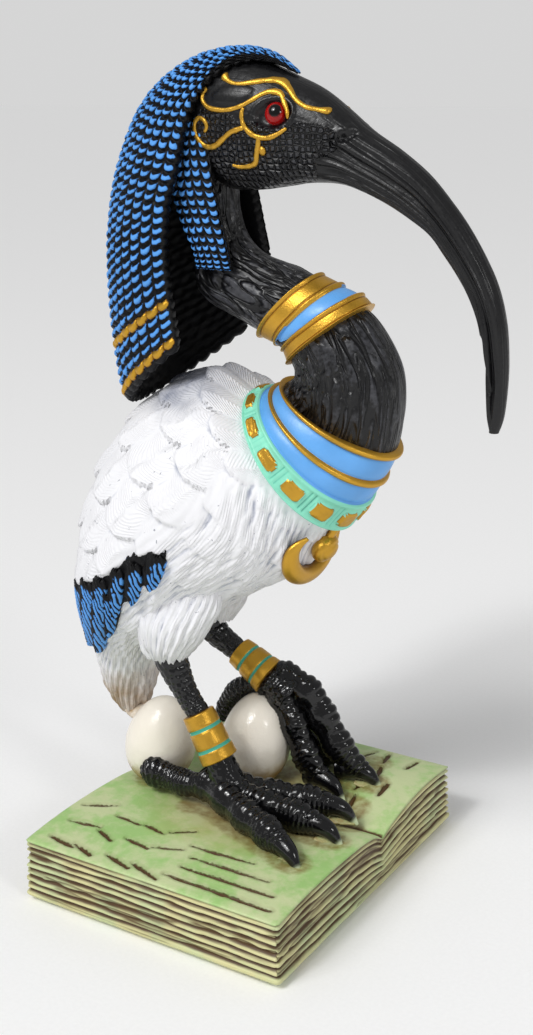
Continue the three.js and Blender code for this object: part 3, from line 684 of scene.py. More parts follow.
def stroke_gap(x, y):
    """Distance from each point to the nearest stroke's edge, strokes tapering to their ends."""
    nearest = np.full(x.shape, 3.0)
    wavy = 0.5 * (rough(x / 2.5, y / 2.5, 31) - 0.5)
    for (x0, y0), (x1, y1) in page_strokes():
        length = math.hypot(x1 - x0, y1 - y0)
        along = ((x - x0) * (x1 - x0) + (y - y0) * (y1 - y0)) / length ** 2
        t = np.clip(along, 0, 1)
        half = 0.18 + 0.28 * np.sin(np.pi * np.clip(t, 0.05, 0.95))
        gap = np.hypot(x - x0 - t * (x1 - x0), y - y0 - t * (y1 - y0)) + wavy - half
        nearest = np.minimum(nearest, gap)
    return nearest


def wash_round_feet(x, y):
    """Share of brown wash on the page, gathered round the toes and the eggs."""
    nearest = np.full(x.shape, 9.0)
    for foot, reach in ((NEAR_FOOT, 38), (FAR_FOOT, 31)):
        dx, dy = x - foot["x"], y - foot["y"] - BIRD_OFFSET
        for spread in foot["spread"]:
            angle = math.radians(foot["turn"] + spread)
            along = np.clip(dx * math.cos(angle) + dy * math.sin(angle), -4, reach)
            apart = np.hypot(dx - along * math.cos(angle), dy - along * math.sin(angle))
            nearest = np.minimum(nearest, apart - 3.6)
    for egg_x, egg_y, _tilt, _turn in (BACK_EGG, FAR_EGG):
        nearest = np.minimum(nearest, np.hypot(x - egg_x, y - egg_y) - 7)
    return bell(np.maximum(nearest, 0), 2.2)


def book_block(paints):
    """A flat page whose rim is drawn down, row after row, into four walls and closed below."""
    bm = bmesh.new()
    bmesh.ops.create_grid(bm, x_segments=154, y_segments=186, size=0.5)
    for face in bm.faces:
        face.smooth = True
    rim = [edge for edge in bm.edges if edge.is_boundary]
    for _row in range(WALL_ROWS):
        drawn = bmesh.ops.extrude_edge_only(bm, edges=rim)["geom"]
        lower = [part for part in drawn if isinstance(part, bmesh.types.BMVert)]
        bmesh.ops.translate(bm, vec=(0, 0, -1), verts=lower)
        rim = [part for part in drawn if isinstance(part, bmesh.types.BMEdge) and part.is_boundary]
        for face in drawn:
            if isinstance(face, bmesh.types.BMFace):
                face.material_index = 1
                face.smooth = True
    bmesh.ops.holes_fill(bm, edges=rim, sides=0)
    bmesh.ops.recalc_face_normals(bm, faces=bm.faces)
    return mesh_from(bm, "open_book", paints)


def leaf_grooves(around, share, height):
    """Depth of the wavy grooves between the leaves, 0 to 1, for places round the walls and up them."""
    wave = 0.9 * (grain(around / 17, share * 3.5, 3) - 0.5) + 0.5 * (grain(around / 5, share * 7, 4) - 0.5)
    place = share * LAYERS + wave * 0.4 * np.sin(np.pi * share)
    gap = np.abs(place - np.round(place)) * height / LAYERS
    cut = 1 - step(0.2, 0.7 + 0.3 * grain(around / 9, share * 8, 6), gap)
    second = np.abs(place * 2 - np.round(place * 2)) * height / LAYERS / 2
    extra = (1 - step(0.08, 0.32, second)) * step(0.55, 0.7, grain(around / 23, np.floor(place), 8))
    return np.where((share > 0.985) | (share < 0.03), 0.0, np.maximum(cut, 0.6 * extra))


def round_corners(x, y, half_x, half_y):
    """Points of a rectangle, drawn in where its corners are rounded."""
    core_x = np.clip(x, -(half_x - CORNER), half_x - CORNER)
    core_y = np.clip(y, -(half_y - CORNER), half_y - CORNER)
    out = np.maximum(np.hypot(x - core_x, y - core_y), 1e-6)
    outside = (out > 1e-5) & ((np.abs(x) > half_x - CORNER) & (np.abs(y) > half_y - CORNER))
    pull = np.where(outside, np.minimum(CORNER / out, 1.0), 1.0)
    return core_x + (x - core_x) * pull, core_y + (y - core_y) * pull


def book_mesh(sizes, paints):
    """The open book: leaves swelling to the spine, strokes cut in them, and grooved leaf edges."""
    length, width, height = sizes.book_length / MM, sizes.book_width / MM, sizes.book_height / MM
    mesh = book_block(paints)
    gx, gy, row = numbers_of(mesh.vertices, "co").T
    share = 1 + row / WALL_ROWS
    wall = row < -0.5
    on_end = np.abs(gx) > 0.4999
    around = np.where(on_end, gy * width, gx * length) + 300 * on_end
    line = leaf_grooves(around, share, height)
    ripple = 0.5 * (rough(around / 6, share * 16, 12) - 0.5)
    inset = np.where(wall, line * sizes.groove_depth / MM + ripple * 0.35, 0.0)
    softened = np.where(share < 0.06, 0.5 * (1 - share / 0.06) ** 2, 0.0)
    half_x = length / 2 - DRAFT * share - inset - softened
    half_y = width / 2 - DRAFT * share - inset - softened
    x, y = round_corners(2 * gx * half_x, 2 * gy * half_y, half_x, half_y)
    top = leaf_height(y, width, height)
    gaps = stroke_gap(x, y)
    strokes = 1 - step(-0.1, 0.5, gaps)
    border = np.minimum(length / 2 - np.abs(x), width / 2 - np.abs(y))
    rounding = 0.45 * np.exp(-np.maximum(border - DRAFT, 0) / 0.5)
    swell = 0.35 * (rough(x / 9, y / 9, 40) - 0.5)
    page = top - strokes * sizes.stroke_depth / MM * 1.3 - rounding + swell * np.clip(border / 5, 0, 1)
    z = np.where(wall, (top - 0.45) * share, page)
    points = np.stack([x + BOOK_MIDDLE.x / MM, y + BOOK_MIDDLE.y / MM, z + STAND_LEVEL], axis=-1) * MM
    spine = bell(y - SPINE, 0.9)
    relief = np.where(wall, 1 - line, 1 - 0.75 * spine * (border > 0.8))
    feet = np.exp(-(((x - 4) / 26) ** 2 + ((y + 2) / 26) ** 2))
    lay_out(mesh, points, relief=relief, stain=feet, gap=gaps, wash=wash_round_feet(x, y))
    return mesh


# Eggs

BACK_EGG = (-28.3, -0.4, 12.0, 0.0)
FAR_EGG = (-5.5, 14.0, 8.0, 60.0)
EGG_RADIUS = 10.0
EGG_HALF = 13.5
EGG_SEAT = 12.3


def egg_mesh(name, place, paints):
    """One egg: a half turn of outline, blunter below, leaned and set on the page."""
    x0, y0, tilt, turn = place
    turned = Matrix.Rotation(math.radians(turn), 3, "Z")
    lean = np.array(turned @ Matrix.Rotation(math.radians(tilt), 3, "Y"))

    def rule(u, v):
        angle = np.pi * v
        dents = 0.3 * (rough(u * 6, v * 4, 70, around=6) - 0.5) * np.sin(angle)
        radius = EGG_RADIUS * np.sin(angle) * (1 + 0.12 * np.cos(angle)) + dents
        points = np.stack([
            radius * np.cos(2 * np.pi * u), radius * np.sin(2 * np.pi * u),
            -EGG_HALF * np.cos(angle)], axis=-1)
        points = points @ lean.T
        points[:, 2] = np.maximum(points[:, 2], -12.5)
        relief = step(-13.0, 2.0, points[:, 2]) - 0.35 * (points[:, 2] < -9)
        points[:, 2] += EGG_SEAT
        return {"co": on_page(points, y0, 0.0, x0), "relief": relief}

    return wrapped(name, 48, 36, rule, paints)


# Legs and feet

NEAR_THIGH = [
    [-12, 77, 8, 1.2], [-13.4, 66, 12.2, 4.6], [-16.6, 55.5, 10.6, 7.8], [-18, 49, 8.2, 7.4],
    [-18.4, 45, 6, 6], [-18.6, 42.5, 4, 4.2]]
FAR_THIGH = [[-20, 66, 12, 7], [-20, 57, 10, 8.5], [-21.5, 50, 7.5, 7.5], [-22, 45, 5, 5.5]]
NEAR_SHANK = [
    [-17, 54, 7, 6.5], [-18, 46, 5, 5], [-15.5, 39, 3.9, 3.9], [-12, 33, 3.1, 3.1],
    [-8.5, 28, 3.1, 3.1], [-2.5, 17, 3.8, 3.8], [1, 8, 5.6, 5.6]]
FAR_SHANK = [
    [-24, 50, 6, 6], [-22.5, 41.5, 4.2, 4.2], [-15, 36.5, 3.2, 3.2], [-8, 33, 3.5, 3.5],
    [-1, 29, 4.6, 4.6], [4, 26, 5.4, 5.2]]
NEAR_ANKLET = [[-9, 29, 3.9, 3.9], [-2, 16.5, 4.6, 4.6]]
FAR_ANKLET = [[-13.5, 36, 3.8, 3.8], [-3, 29.9, 5.1, 5.1]]
NEAR_TOE = [
    [-1, 8, 5.5, 6], [8, 7.3, 5.6, 5.8], [17, 6, 5.3, 5.6], [25, 5.6, 5, 5.4], [30, 5.1, 4.8, 5.1],
    [33.5, 4.8, 4, 4.2], [35, 4.8, 2.8, 2.8]]
FAR_TOE_MIDDLE = [
    [-2, 29, 5, 5], [5, 30, 5.6, 5.6], [11.5, 26, 5.8, 5.6], [16.5, 18.5, 5.4, 5.4], [21, 11, 5, 5.2],
    [25, 6.5, 4.6, 4.8], [28, 4.5, 3, 3.2]]
FAR_TOE_SIDE = [
    [-2, 28, 4.8, 4.8], [3.5, 26, 5, 5.2], [8, 20.5, 5.1, 5.2], [12, 13.5, 4.9, 5], [15.5, 8, 4.8, 5],
    [19.5, 4.8, 4.3, 4.4], [22, 4, 2.8, 3]]
HALLUX = [
    [0, 7.5, 4.8, 5], [-8, 6.5, 4.2, 4.6], [-14, 7, 4.7, 4.8], [-18.5, 7.2, 5, 4.9], [-21.5, 6, 3.2, 3.2]]
FAR_HALLUX = [
    [0, 28, 4.5, 4.6], [-6, 26, 4, 4.2], [-11, 22, 4, 4.2], [-14.5, 17, 3.7, 3.8], [-15, 13, 2, 2.2]]
CLAW = [[-4, 0.6, 3.0, 3.0], [1, 1.0, 2.9, 2.7], [5.4, -0.4, 2.2, 2.0], [9.0, -4.3, 0.5, 0.5]]
NEAR_FOOT = {
    "y": -13.5, "x": -6, "turn": 2, "spread": (0, 18.5, -24), "middle": (NEAR_TOE, (32.0, 4.0)),
    "side": (NEAR_TOE, (32.0, 4.0)), "hallux": HALLUX, "shank": NEAR_SHANK, "anklet": NEAR_ANKLET}
FAR_FOOT = {
    "y": 14, "x": -4, "turn": 13.5, "spread": (0, 22.7, -22.7), "middle": (FAR_TOE_MIDDLE, (24.5, 4.0)),
    "side": (FAR_TOE_SIDE, (19.0, 3.8)), "hallux": FAR_HALLUX, "shank": FAR_SHANK, "anklet": FAR_ANKLET}


def from_top(u):
    """Degrees round from the top of a limb, 0 to 180 on either side."""
    return 360 * np.abs(np.mod(u + 0.5, 1.0) - 0.5)


def toe_mesh(stations, sizes, seed, **place):
    """A scaly toe: broad plates over its top, small grains and fine ridges down its sides."""
    surface = limb_form([[x, z, 0.9 * thick, 0.76 * wide] for x, z, thick, wide in stations])
    length = run_along(surface, 0.0)
    relief_mm = sizes.scute_relief / MM

    def rule(u, v):
        s = length(v)
        side = from_top(u)
        plate_place = s / 2.7 + 0.25 * (side / 60) ** 2 + 0.3 * (grain(s / 4, seed, seed) - 0.5)
        frac = plate_place - np.floor(plate_place)
        plates = np.sqrt(np.clip(1 - (2 * frac - 1) ** 2, 0, 1)) * (0.7 + 0.3 * np.cos(np.pi * side / 90))
        grains = pebbles(s / 1.5, side / 16 + seed, seed)
        ridges = 0.5 + 0.5 * np.cos(2 * np.pi * (s / 1.35 + 0.5 * grain(s / 3, side / 30, seed)))
        low = mix(grains, ridges, 0.6)
        top = 1 - step(38, 56, side)
        height = mix(0.6 * low, plates, top)
        knuckle = 0.35 * np.cos(2 * np.pi * s / 9.5)
        points = raised(surface, u, v, relief_mm * (height - 0.75) + knuckle)
        points[:, 2] = np.maximum(points[:, 2], 0.0)
        return {"co": on_page(points, **place), "relief": height, "tip": np.zeros_like(v)}

    return wrapped("toe", 56, 92, rule)


def claw_mesh(at, **place):
    """A smooth hooked claw, its point on the page."""
    stations = [[x + at[0], z + at[1], thick, wide] for x, z, thick, wide in CLAW]
    surface = limb_form(stations)

    def rule(u, v):
        rim = 0.35 * bell(v - 0.16, 0.05)
        keel = 0.25 * bell(from_top(u), 30) * (1 - v)
        points = raised(surface, u, v, rim + keel)
        points[:, 2] = np.maximum(points[:, 2], -1.5)
        return {"co": on_page(points, **place), "relief": np.full(u.shape, 0.9), "tip": step(0.83, 0.9, v)}

    return wrapped("claw", 32, 40, rule)


def foot_meshes(foot, sizes):
    """Three toes with their claws, spread from the middle of a foot, the toe behind, and their webs."""
    limbs, webs = [], []
    for way in (-1, 0, 1):
        toe, at = foot["middle"] if way == 0 else foot["side"]
        place = {"y": BIRD_OFFSET + foot["y"], "turn": foot["turn"] + foot["spread"][way], "x": foot["x"]}
        limbs.append(toe_mesh(toe, sizes, 3 + way, **place))
        limbs.append(claw_mesh(at, **place))
        webs.append(web_mesh([[x + at[0], z, thick, wide] for x, z, thick, wide in CLAW_WEB], **place))
    limbs.append(toe_mesh(foot["hallux"], sizes, 9, y=BIRD_OFFSET + foot["y"], x=foot["x"]))
    return limbs, webs


def shank_mesh(foot, paints):
    """A pebbled black shank."""
    surface = limb_form(foot["shank"])
    length = run_along(surface, 0.0)

    def rule(u, v):
        s = length(v)
        grains = pebbles(u * 13, s / 1.9, 4, around=13)
        folds = rough(u * 6, s / 3.5, 14, around=6)
        height = 0.7 * grains + 0.6 * folds
        points = raised(surface, u, v, 0.55 * (height - 0.7))
        return {"co": on_page(points, BIRD_OFFSET + foot["y"]), "relief": np.clip(height, 0, 1),
                "tip": np.zeros_like(v)}

    return wrapped("shank", 56, 104, rule, paints)


def anklet_mesh(foot, paints):
    """A gold anklet with two green lines sunk in it and a dented rim."""
    surface = limb_form(foot["anklet"])

    def off_line(v):
        return np.min([np.abs(v - line) for line in (0.36, 0.68)], axis=0)

    def rule(u, v):
        groove = bell(off_line(v), 0.035)
        lip = step(0.0, 0.05, v) * step(0.0, 0.05, 1 - v)
        wobble = 0.3 * (rough(u * 9, v * 5, 22, around=9) - 0.5)
        height = 0.55 - 0.3 * groove + wobble - 1.4 * (1 - lip)
        relief = np.clip(0.85 - 0.8 * groove * 0.6, 0, 1) * lip
        return {"co": on_page(raised(surface, u, v, height), BIRD_OFFSET + foot["y"]), "relief": relief}

    return wrapped("anklet", 60, 52, rule, paints, zone=lambda _u, v: off_line(v) < 0.032)


# Plumage

BODY = [
    [32, 90.5, 8, 113, 11], [27, 85.3, 3, 116.5, 15.4], [22.3, 78, -8, 121.5, 21.5],
    [18, 70.5, -19.5, 118, 25], [10, 65, -30, 110.5, 27], [1, 60, -38, 101, 28],
    [-8, 54, -44, 90, 27.5], [-16, 48, -47.5, 78, 26], [-23, 43.5, -49.5, 65, 23],
    [-28, 39.5, -50.5, 52, 18.5], [-31, 34.5, -51, 40, 13.5], [-33, 28.5, -50.5, 30, 10],
    [-34.5, 22.5, -48, 22, 7.5], [-36, 18, -44.5, 16, 5]]
FEATHER_TIERS = [
    (0.15, 0.02, 0.012, 0.9), (0.24, 0.03, 0.014, 1.1), (0.33, 0.04, 0.015, 1.3),
    (0.425, 0.05, 0.016, 1.5), (0.53, 0.07, 0.018, 1.6), (0.7, 0.13, 0.022, 2.2)]
WING_EDGE = 105.0
FEATHERS_ROUND = 14


def feather_coat(u, v, girth_at, length, relief_mm):
    """Tiers of rounded feathers: height, relief, the barbs' phase and strength, and where they lie."""
    ridge = 180 - from_top(u)
    wing = 1 - step(WING_EDGE - 12, WING_EDGE + 12, ridge)
    reach = np.minimum(ridge, WING_EDGE) / WING_EDGE
    s = length(v)
    turn = np.mod(u, 1.0)
    height, relief = np.zeros_like(v), np.ones_like(v)
    barb, ribs = np.zeros_like(v), np.zeros_like(v)
    done = np.zeros(v.shape, dtype=bool)
    last_edge = np.zeros_like(v)
    for k, (t, skew, zigzag, lift) in enumerate(FEATHER_TIERS):
        place = turn * FEATHERS_ROUND + 0.5 * ((k + 1) % 2) + 0.22 * (grain(v * 30, k, 60) - 0.5)
        column = np.round(place)
        q = place - column
        jag = 0.0025 * (scatter(np.floor(q * 17), column, 50 + k) - 0.5)
        odd = 0.010 * (scatter(column, k, 33) - 0.5)
        rounded = np.sqrt(np.clip(1 - (2 * q) ** 2, 0, 1))
        edge = t - skew * reach + zigzag * (2 * rounded - 1) * 1.1 + odd + jag
        here = (v <= edge) & ~done
        span = np.maximum(edge - last_edge, 0.02)
        part = np.clip((v - last_edge) / span, 0, 1)
        wide = girth_at / FEATHERS_ROUND
        past = s - length(last_edge)
        border = np.minimum(np.minimum((0.5 - np.abs(q)) * wide, past), length(edge) - s)
        stand = 0.85 * lift * (0.35 + 0.65 * wing) * (0.25 + 0.75 * part ** 1.5)
        crown = relief_mm * (1 - (2 * q) ** 2) * (0.3 + 0.7 * part)
        quill = 0.3 * bell(q * wide, 0.35) * step(0.1, 0.4, part) * wing
        height = np.where(here, stand + crown + quill, height)
        # Painted shadow: the relief, and so the grey wash, is darker just below the tip of the feather
        # above.
        painted_shadow_under_tip = bell(past, 1.3) * (k > 0)
        side_edge = bell((0.5 - np.abs(q)) * wide, 0.7)
        shown = 0.6 + 0.4 * (1 - np.abs(2 * q) ** 3) * (0.4 + 0.6 * part)
        shown = shown - 0.36 * painted_shadow_under_tip - 0.2 * side_edge * part
        relief = np.where(here, np.clip(shown, 0, 1), relief)
        slant = (0.9 * np.abs(q) * wide + 0.75 * past) / 0.85
        barb = np.where(here, slant, barb)
        ribs = np.where(here, step(0.2, 1.2, border), ribs)
        done |= here
        last_edge = np.where(done, last_edge, edge)
    after = step(0.2, 1.5, s - length(last_edge))
    return height, relief, barb, np.where(done, ribs, after), done


def plumage_mesh(sizes, paints):
    """Body and tail: tiers of feathers, long shaggy tufts on the flank, grooves down the tail."""
    surface = form_of(BODY)
    length = run_along(surface, 0.5)
    relief_mm = sizes.feather_relief / MM

    def rule(u, v):
        around = girth(surface, v)
        height, relief, barb, ribs, done = feather_coat(u, v, around, length, relief_mm)
        s = length(v)
        side = from_top(u)
        across = np.minimum(u, 1 - u) * around
        tuft = rough(across / 2.8 + 0.12 * s, s / 15, 80, 3)
        strand = 0.5 + 0.5 * np.cos(2 * np.pi * (across / 2.3 + 1.2 * rough(s / 8, across / 8, 90)))
        shag = 2.4 * (tuft - 0.5) + 0.55 * (strand - 0.5)
        belly = step(WING_EDGE - 25, WING_EDGE + 8, 180 - side)
        down = np.where(done, 0.0, 1.0)
        loose = np.maximum(belly, down) * step(0.06, 0.14, v)
        height = mix(height, np.where(done, 0.35 * height, 0.0) + shag, loose * 0.85)
        # The shaggy belly and tail start from a low relief and so take more grey: a wash in the strands,
        # and painted shade for the underside.
        relief = mix(relief, np.clip(0.05 + 0.6 * tuft + 0.45 * strand, 0, 1), loose * 0.85)
        barb = np.where(loose > 0.5, (across + 0.15 * s + 1.5 * tuft) / 0.85, barb)
        ribs = ribs * step(0.05, 0.4, np.abs(loose - 0.5))
        height = (height - 1.1) * step(0.0, 0.05, v) + 0.2 * (rough(across / 5, s / 6, 7) - 0.5)
        flat = surface(u, v)
        top, foot = np.array(WING_TOP), np.array(WING_FOOT)
        under = np.interp(flat[:, 0], top[:, 0], top[:, 1]) - flat[:, 2]
        over = flat[:, 2] - np.interp(flat[:, 0], foot[:, 0], foot[:, 1])
        covered = step(0.0, 1.5, np.minimum(under, over)) * (flat[:, 0] < -9) * (np.abs(flat[:, 1]) > 3)
        points = raised(surface, u, v, mix(height, -1.6, covered))
        # Painted shade: where the plumage is darkened under the wig's hem.
        painted_shade_under_wig = np.exp(-(((points[:, 0] + 16) / 15) ** 2 + ((points[:, 2] - 118) / 7) ** 2))
        return {"co": on_page(points), "relief": relief, "barb": barb, "ribs": ribs,
                "shade": np.clip(painted_shade_under_wig, 0, 1), "stain": 1 - step(20, 42, points[:, 2])}

    return wrapped("plumage", 246, 250, rule, paints)


def thigh_mesh(name, stations, foot_y, paints):
    """Shaggy feathers of a thigh, ending in a ragged fringe over the shank."""
    surface = limb_form(stations)
    length = run_along(surface, 0.0)

    def rule(u, v):
        across = np.minimum(u, 1 - u) * 60
        teeth = np.abs(np.mod(u * 17, 1.0) - 0.5) * 2 + 0.5 * grain(u * 31, 0, 3, around=31)
        ragged = np.clip(v - 0.10 * teeth * step(0.6, 1.0, v), 0, 1)
        s = length(ragged)
        tuft = rough(across / 3.0 + 0.1 * s, s / 12, 83)
        ribs = 0.5 + 0.5 * np.cos(2 * np.pi * (across / 2.2 + 0.8 * rough(s / 7, across / 7, 91)))
        height = 2.4 * (tuft - 0.5) + 0.8 * (ribs - 0.5)
        return {"co": on_page(raised(surface, u, ragged, height), BIRD_OFFSET + foot_y),
                "relief": np.clip(0.1 + 0.6 * tuft + 0.45 * ribs, 0, 1),
                "barb": (across + 1.5 * tuft) / 0.85, "ribs": np.ones_like(v),
                "shade": np.zeros_like(v), "stain": np.zeros_like(v)}

    return wrapped(name, 100, 104, rule, paints)


def heading(line_x, line_z, v, reach):
    """Unit direction of a drawn line at each v, taken over a reach on either side."""
    ahead, behind = np.clip(v + reach, 0, 1), np.clip(v - reach, 0, 1)
    dx, dz = (smooth(line, ahead) - smooth(line, behind) for line in (line_x, line_z))
    size = np.maximum(np.hypot(dx, dz), 1e-6)
    return dx / size, dz / size


def place_on_side(table, x, z):
    """Where points drawn on the bird's side lie on a form: u from 0 to 0.5, and v."""
    table = np.asarray(table, dtype=float)
    low, high = np.zeros_like(x), np.ones_like(x)
    for _halving in range(22):
        middle = (low + high) / 2
        fx, fz, bx, bz, _half = (smooth(table[:, k], middle) for k in range(5))
        ahead = (x - (fx + bx) / 2) * (fz - bz) - (z - (fz + bz) / 2) * (fx - bx) > 0
        low, high = np.where(ahead, middle, low), np.where(ahead, high, middle)
    fx, fz, bx, bz, _half = (smooth(table[:, k], low) for k in range(5))
    rx, rz = (fx - bx) / 2, (fz - bz) / 2
    share = ((x - (fx + bx) / 2) * rx + (z - (fz + bz) / 2) * rz) / (rx ** 2 + rz ** 2)
    return np.arccos(np.clip(share, -1, 1)) / (2 * np.pi), low


QUILLS = [
    [[-11.0, 76.1, 2.8], [-13.5, 71.0, 2.8], [-15.1, 66.4, 1.4]],
    [[-18.1, 72.9, 2.4], [-19.9, 66.7, 2.7], [-21.3, 61.1, 1.1]],
    [[-23.6, 70.4, 2.5], [-25.9, 62.8, 2.3], [-28.1, 55.9, 1.5]],
    [[-28.4, 62.2, 1.9], [-29.5, 56.0, 2.3], [-33.0, 48.3, 1.4]],
    [[-30.0, 66.4, 3.0], [-33.7, 55.8, 3.1], [-40.8, 40.7, 3.1]],
    [[-36.2, 64.4, 4.0], [-39.2, 55.1, 4.2], [-44.6, 41.5, 3.6]],
    [[-43.5, 61.5, 3.6], [-46.0, 53.0, 4.0], [-48.8, 43.0, 3.0]]]
WING_TOP = [
    (-50.5, 60.5), (-45.5, 61.5), (-40.5, 62.8), (-35.6, 65.4), (-30.6, 67.1), (-24.5, 71.3),
    (-18.5, 75.6), (-13.2, 77.5), (-8.4, 77.4)]
WING_FOOT = [
    (-51, 45.5), (-49, 41.5), (-46.2, 39.8), (-43, 38.8), (-38.9, 41.3), (-34.8, 47.1), (-30.4, 49.6),
    (-26.4, 55.9), (-24.1, 60.3), (-19.8, 62.2), (-17, 66.8), (-14.3, 66.2), (-11.9, 70.4), (-9.1, 74.2)]


def wing_tip_mesh(side, index, quill):
    """One dark primary: blue barbs brushed over black, slanting off its quill, a black gap behind it."""
    surface = form_of(BODY)
    table = np.array(quill)

    def rule(u, v):
        across = 2 * u - 1
        cx, cz, half = (smooth(table[:, k], v) for k in range(3))
        dx, dz = heading(table[:, 0], table[:, 1], v, 0.02)
        s = v * np.hypot(*(table[0] - table[2])[:2])
        ends = np.minimum(v / 0.08, 1) ** 0.5 * np.clip((1 - v) / 0.2, 0, 1) ** 0.45
        outline = half * np.clip(ends, 0.06, 1)
        x = cx + dz * across * outline
        spikes = 0.55 + 0.45 * np.abs(np.mod(across * 2.2 + index, 1.0) - 0.5) * 2
        z = cz - dx * across * outline + 1.6 * spikes * (1 - step(0.0, 0.16, v))
        place_u, place_v = place_on_side(BODY, x, z)
        strokes = (s * 0.6 + 1.1 * across * half + 1.9 * rough(s / 3, across * 1.5, 8 + index)) / 1.6
        wave = 0.5 + 0.5 * np.cos(2 * np.pi * strokes)
        camber = 1 - across ** 2
        covered = step(-0.5, -0.1, 0.8 * (rough(s / 1.3, index, 3) - 0.7) - across)
        blue = covered * step(0.04, 0.14, v)
        height = -0.3 + 0.9 * camber + 0.5 * wave * camber - 0.3 * across
        edge = (np.abs(across) > 0.985) | (v < 0.01) | (v > 0.99)
        points = raised(surface, place_u, place_v, np.where(edge, -2.2, height))
        points[:, 1] *= side
        return {"co": on_page(points), "relief": np.clip(blue * (0.14 + 0.86 * wave), 0, 1)}

    return wrapped("wing_tip", 22, 62, rule)


def wing_root_mesh(side):
    """The black ground under the dark primaries, with a spiky upper edge."""
    surface = form_of(BODY)
    top, foot = np.array(WING_TOP), np.array(WING_FOOT)

    def rule(u, v):
        spike = 1.5 * (1 - np.abs(np.mod(u * 22 + 0.8 * grain(u * 9, 0, 4), 1.0) - 0.5) * 2) * (1 - v) ** 3
        x = mix(smooth(top[:, 0], u), smooth(foot[:, 0], u), v)
        z = mix(smooth(top[:, 1], u) + spike, smooth(foot[:, 1], u), v)
        place_u, place_v = place_on_side(BODY, x, z)
        barbs = rough(u * 30 - v * 7, v * 5, 51)
        edge = np.minimum(np.minimum(u, 1 - u), np.minimum(v, 1 - v)) < 0.004
        points = raised(surface, place_u, place_v, np.where(edge, -2.2, 1.1 * barbs - 1.1))
        points[:, 1] *= side
        return {"co": on_page(points), "relief": barbs * 0.42}

    return wrapped("wing_root", 110, 40, rule)


# Collar and pendant

COLLAR = [
    [42.8, 105, 12.6, 119.6, 12], [38.8, 97.6, 10, 118, 14.2], [34.6, 91.5, 7.2, 116.8, 15.7],
    [28.3, 83.9, 3, 115.6, 17.2]]
TILES = 13


def hand_laid(u, v, most, count, seed):
    """v with the slight waver of an edge that was cut by hand."""
    return v + most * (grain(u * count, 0, seed, around=count) - 0.5)


def collar_mesh(paints):
    """Rolled gold rings, two blue bands and the tile band with its gold pads, on one skin."""
    surface = form_of(COLLAR)

    def on_tiles(u, v):
        t = hand_laid(u, v, 0.006, 17, 61)
        around = girth(surface, v)
        q = (u * TILES - np.floor(u * TILES) - 0.5) * around / TILES
        high = (t - 0.832) * 33.0
        return t, around, q, high, (np.abs(q) / 2.6) ** 4 + (np.abs(high) / 2.35) ** 4

    def rule(u, v):
        t, around, q, high, pad = on_tiles(u, v)
        ring_1 = np.sqrt(np.clip(1 - ((t - 0.055) / 0.05) ** 2, 0, 1))
        ring_2 = np.sqrt(np.clip(1 - ((t - 0.375) / 0.045) ** 2, 0, 1))
        band_1 = np.where((t > 0.11) & (t < 0.33), 0.35 * np.sin(np.pi * (t - 0.11) / 0.22) ** 0.5, 0)
        band_2 = np.where((t > 0.42) & (t < 0.67), 0.45 * np.sin(np.pi * (t - 0.42) / 0.25) ** 0.5, 0)
        in_tiles = step(0.665, 0.68, t)
        rim_low = bell(t - 0.70, 0.022)
        rim_high = bell(t - 0.965, 0.026)
        on_pad = 1 - step(0.75, 1.25, pad)
        pad_dent = 0.35 * (rough(q / 1.2 + np.floor(u * TILES) * 3, high / 1.2, 17) - 0.5)
        edge = around / TILES / 2
        bars = bell(np.abs(q) - (edge - 0.65), 0.22) * step(0.71, 0.73, t) * (1 - step(0.93, 0.95, t))
        tiles = in_tiles * (0.95 + 0.35 * (rim_low + rim_high) + on_pad * (0.75 + pad_dent) - 0.35 * bars)
        height = 1.25 * ring_1 + 1.15 * ring_2 + band_1 + band_2 + tiles
        relief = 0.25 + 2.0 * (band_1 + band_2)
        on_tile = 0.75 - 0.6 * bars + 0.3 * on_pad - 0.45 * (pad > 0.95) * (pad < 1.6)
        relief = np.where(t > 0.67, on_tile, relief)
        relief = np.where((t > 0.33) & (t < 0.42), ring_2 * 1.1, relief)
        relief = np.clip(np.where(t < 0.11, ring_1 * 1.1, relief), 0, 1)
        end = step(0.0, 0.02, v) * (1 - step(0.985, 1.0, v))
        height = mix(-3.2, height, end)
        return {"co": on_page(raised(surface, u, v, height)), "relief": relief}

    def zone(u, v):
        t, _around, _q, _high, pad = on_tiles(u, v)
        gold = (t < 0.108) | ((t > 0.328) & (t < 0.42)) | ((t > 0.68) & (pad < 1.05))
        return np.where(gold, 0, np.where(t > 0.672, 2, 1))

    return wrapped("collar", 270, 104, rule, paints, zone)


PENDANT_T = 0.165
CRESCENT_RADIUS = 8.3
CRESCENT_REACH = 118


